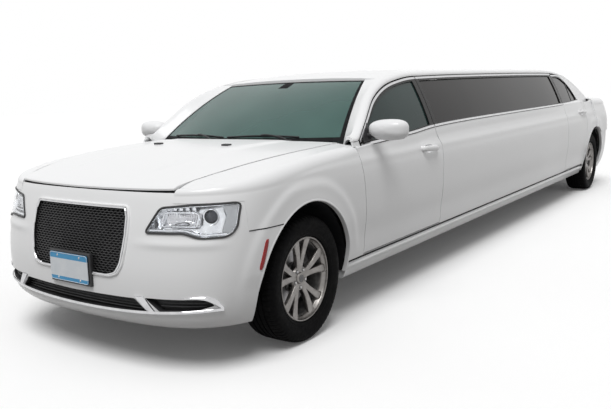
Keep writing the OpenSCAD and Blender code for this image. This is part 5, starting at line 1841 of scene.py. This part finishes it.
def dashboard():
    """A moulded top with a hood over the dials, vents, a centre console and the steering column's cover."""
    fw = FA - 452
    prof = [(0, 700), (-40, 716), (-26, 780), (-8, 840), (2, 900), (16, 948), (44, 972), (110, 980),
            (230, 984), (314, 978)]
    ys = lin(-684, 684, 80)
    rows = []
    for dx, z in prof:
        hump = 26 * np.exp(-(((ys - DRIVER_Y) / 150) ** 4)) * math.exp(-(((z - 972) / 40) ** 2))
        hump = hump * (1 if dx < 130 else 0.2)
        rows.append(np.stack([np.full(81, fw - 330 + max(dx, -26)) + 0.02 * np.abs(ys), ys, z + hump - 4], 1))
    g = np.stack(rows)
    back = g.copy()
    back[..., 0] = fw - 15
    back[..., 2] = np.clip(g[..., 2], 702, 940)
    parts = [shell(g, back, (0, 0, 0))]
    parts.append(box([fw - 300, -118, 328], [fw - 16, 118, 704], 0, 16))
    parts.append(box([fw - 338, -96, 760], [fw - 324, 96, 900], 1, 5))
    parts += [box([fw - 334, s * 250 - 60, 868], [fw - 312, s * 250 + 60, 912], 1, 6) for s in (-1, 1)]
    column = [(0, 34), (0, 40), (110, 44), (150, 46), (157, 40)]
    parts.append(turned(column, STEER_AT - STEER_AXIS * 190, STEER_AXIS, 36, 0))
    place("dashboard_moulding", join(parts), "body", [TRIM, GLOSS_BLACK], ["dashboard"])


def steering_wheel():
    side, up = np.array([0, 1.0, 0]), np.cross([0, 1.0, 0], STEER_AXIS)
    a = np.linspace(0, 2 * math.pi, 72, endpoint=False)
    ring = STEER_AT + STEER_R * (np.cos(a)[:, None] * side + np.sin(a)[:, None] * up)
    parts = [tube(ring, 14.5 + 1.2 * np.cos(3 * a), 14, True, 0, 1.0, STEER_AXIS)]
    parts.append(turned([(-30, 52), (-12, 60), (6, 58), (12, 40), (14, 1)], STEER_AT, STEER_AXIS, 48, 1))
    for deg in (0, 180, 270):
        q = math.radians(deg)
        d = math.cos(q) * side + math.sin(q) * up * -1
        line = [STEER_AT + d * r + STEER_AXIS * h for r, h in ((44, -2), (90, -6), (140, -4), (166, 0))]
        width = np.interp(np.arange(19), [0, 18], [17, 11])
        parts.append(tube(spline(line, 6), width, 10, False, 2, 1.4, STEER_AXIS))
    mats = [LEATHER, TRIM, STEEL]
    place("steering_wheel_rim", join(parts), "steering_wheel", mats, ["steering_wheel"], 50)


def under_and_inside():
    plain = {"floor_pan": CARPET, "partition": TRIM, "engine": CAST, "exhaust": STEEL, "fuel_tank": LINER,
             "front_suspension": CAST, "driveline": CAST, "left_knuckle": CAST, "right_knuckle": CAST}
    for n, m in plain.items():
        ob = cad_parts[n]
        ob.data.materials.clear()
        ob.data.materials.append(m)
    # the cover over the engine, with ribs, and the parts beside it
    x0, x1, z = FA - 360, FA + 380, 862
    parts = [box([x0 + 30, -290, z + 1], [x1 - 20, 290, z + 34], 0, 14)]
    for i in range(9):
        y = -240 + i * 60
        parts.append(box([x0 + 70, y - 12, z + 30], [x1 - 80, y + 12, z + 42], 0, 5))
    parts.append(turned([(0, 36), (26, 36), (30, 30), (31, 1)], (FA + 260, 180, z + 30), (0, 0, 1), 32, 1))
    parts.append(box([FA + 430, 300, 560], [FA + 640, 500, 800], 2, 14))
    parts.append(box([FA + 430, -500, 560], [FA + 630, -310, 780], 1, 12))
    place("engine_cover", join(parts), "body", [BLACK, TRIM, LINER])


rear_bumper()
tail_lamps()
front_seats()
lounge()
dashboard()
steering_wheel()
under_and_inside()
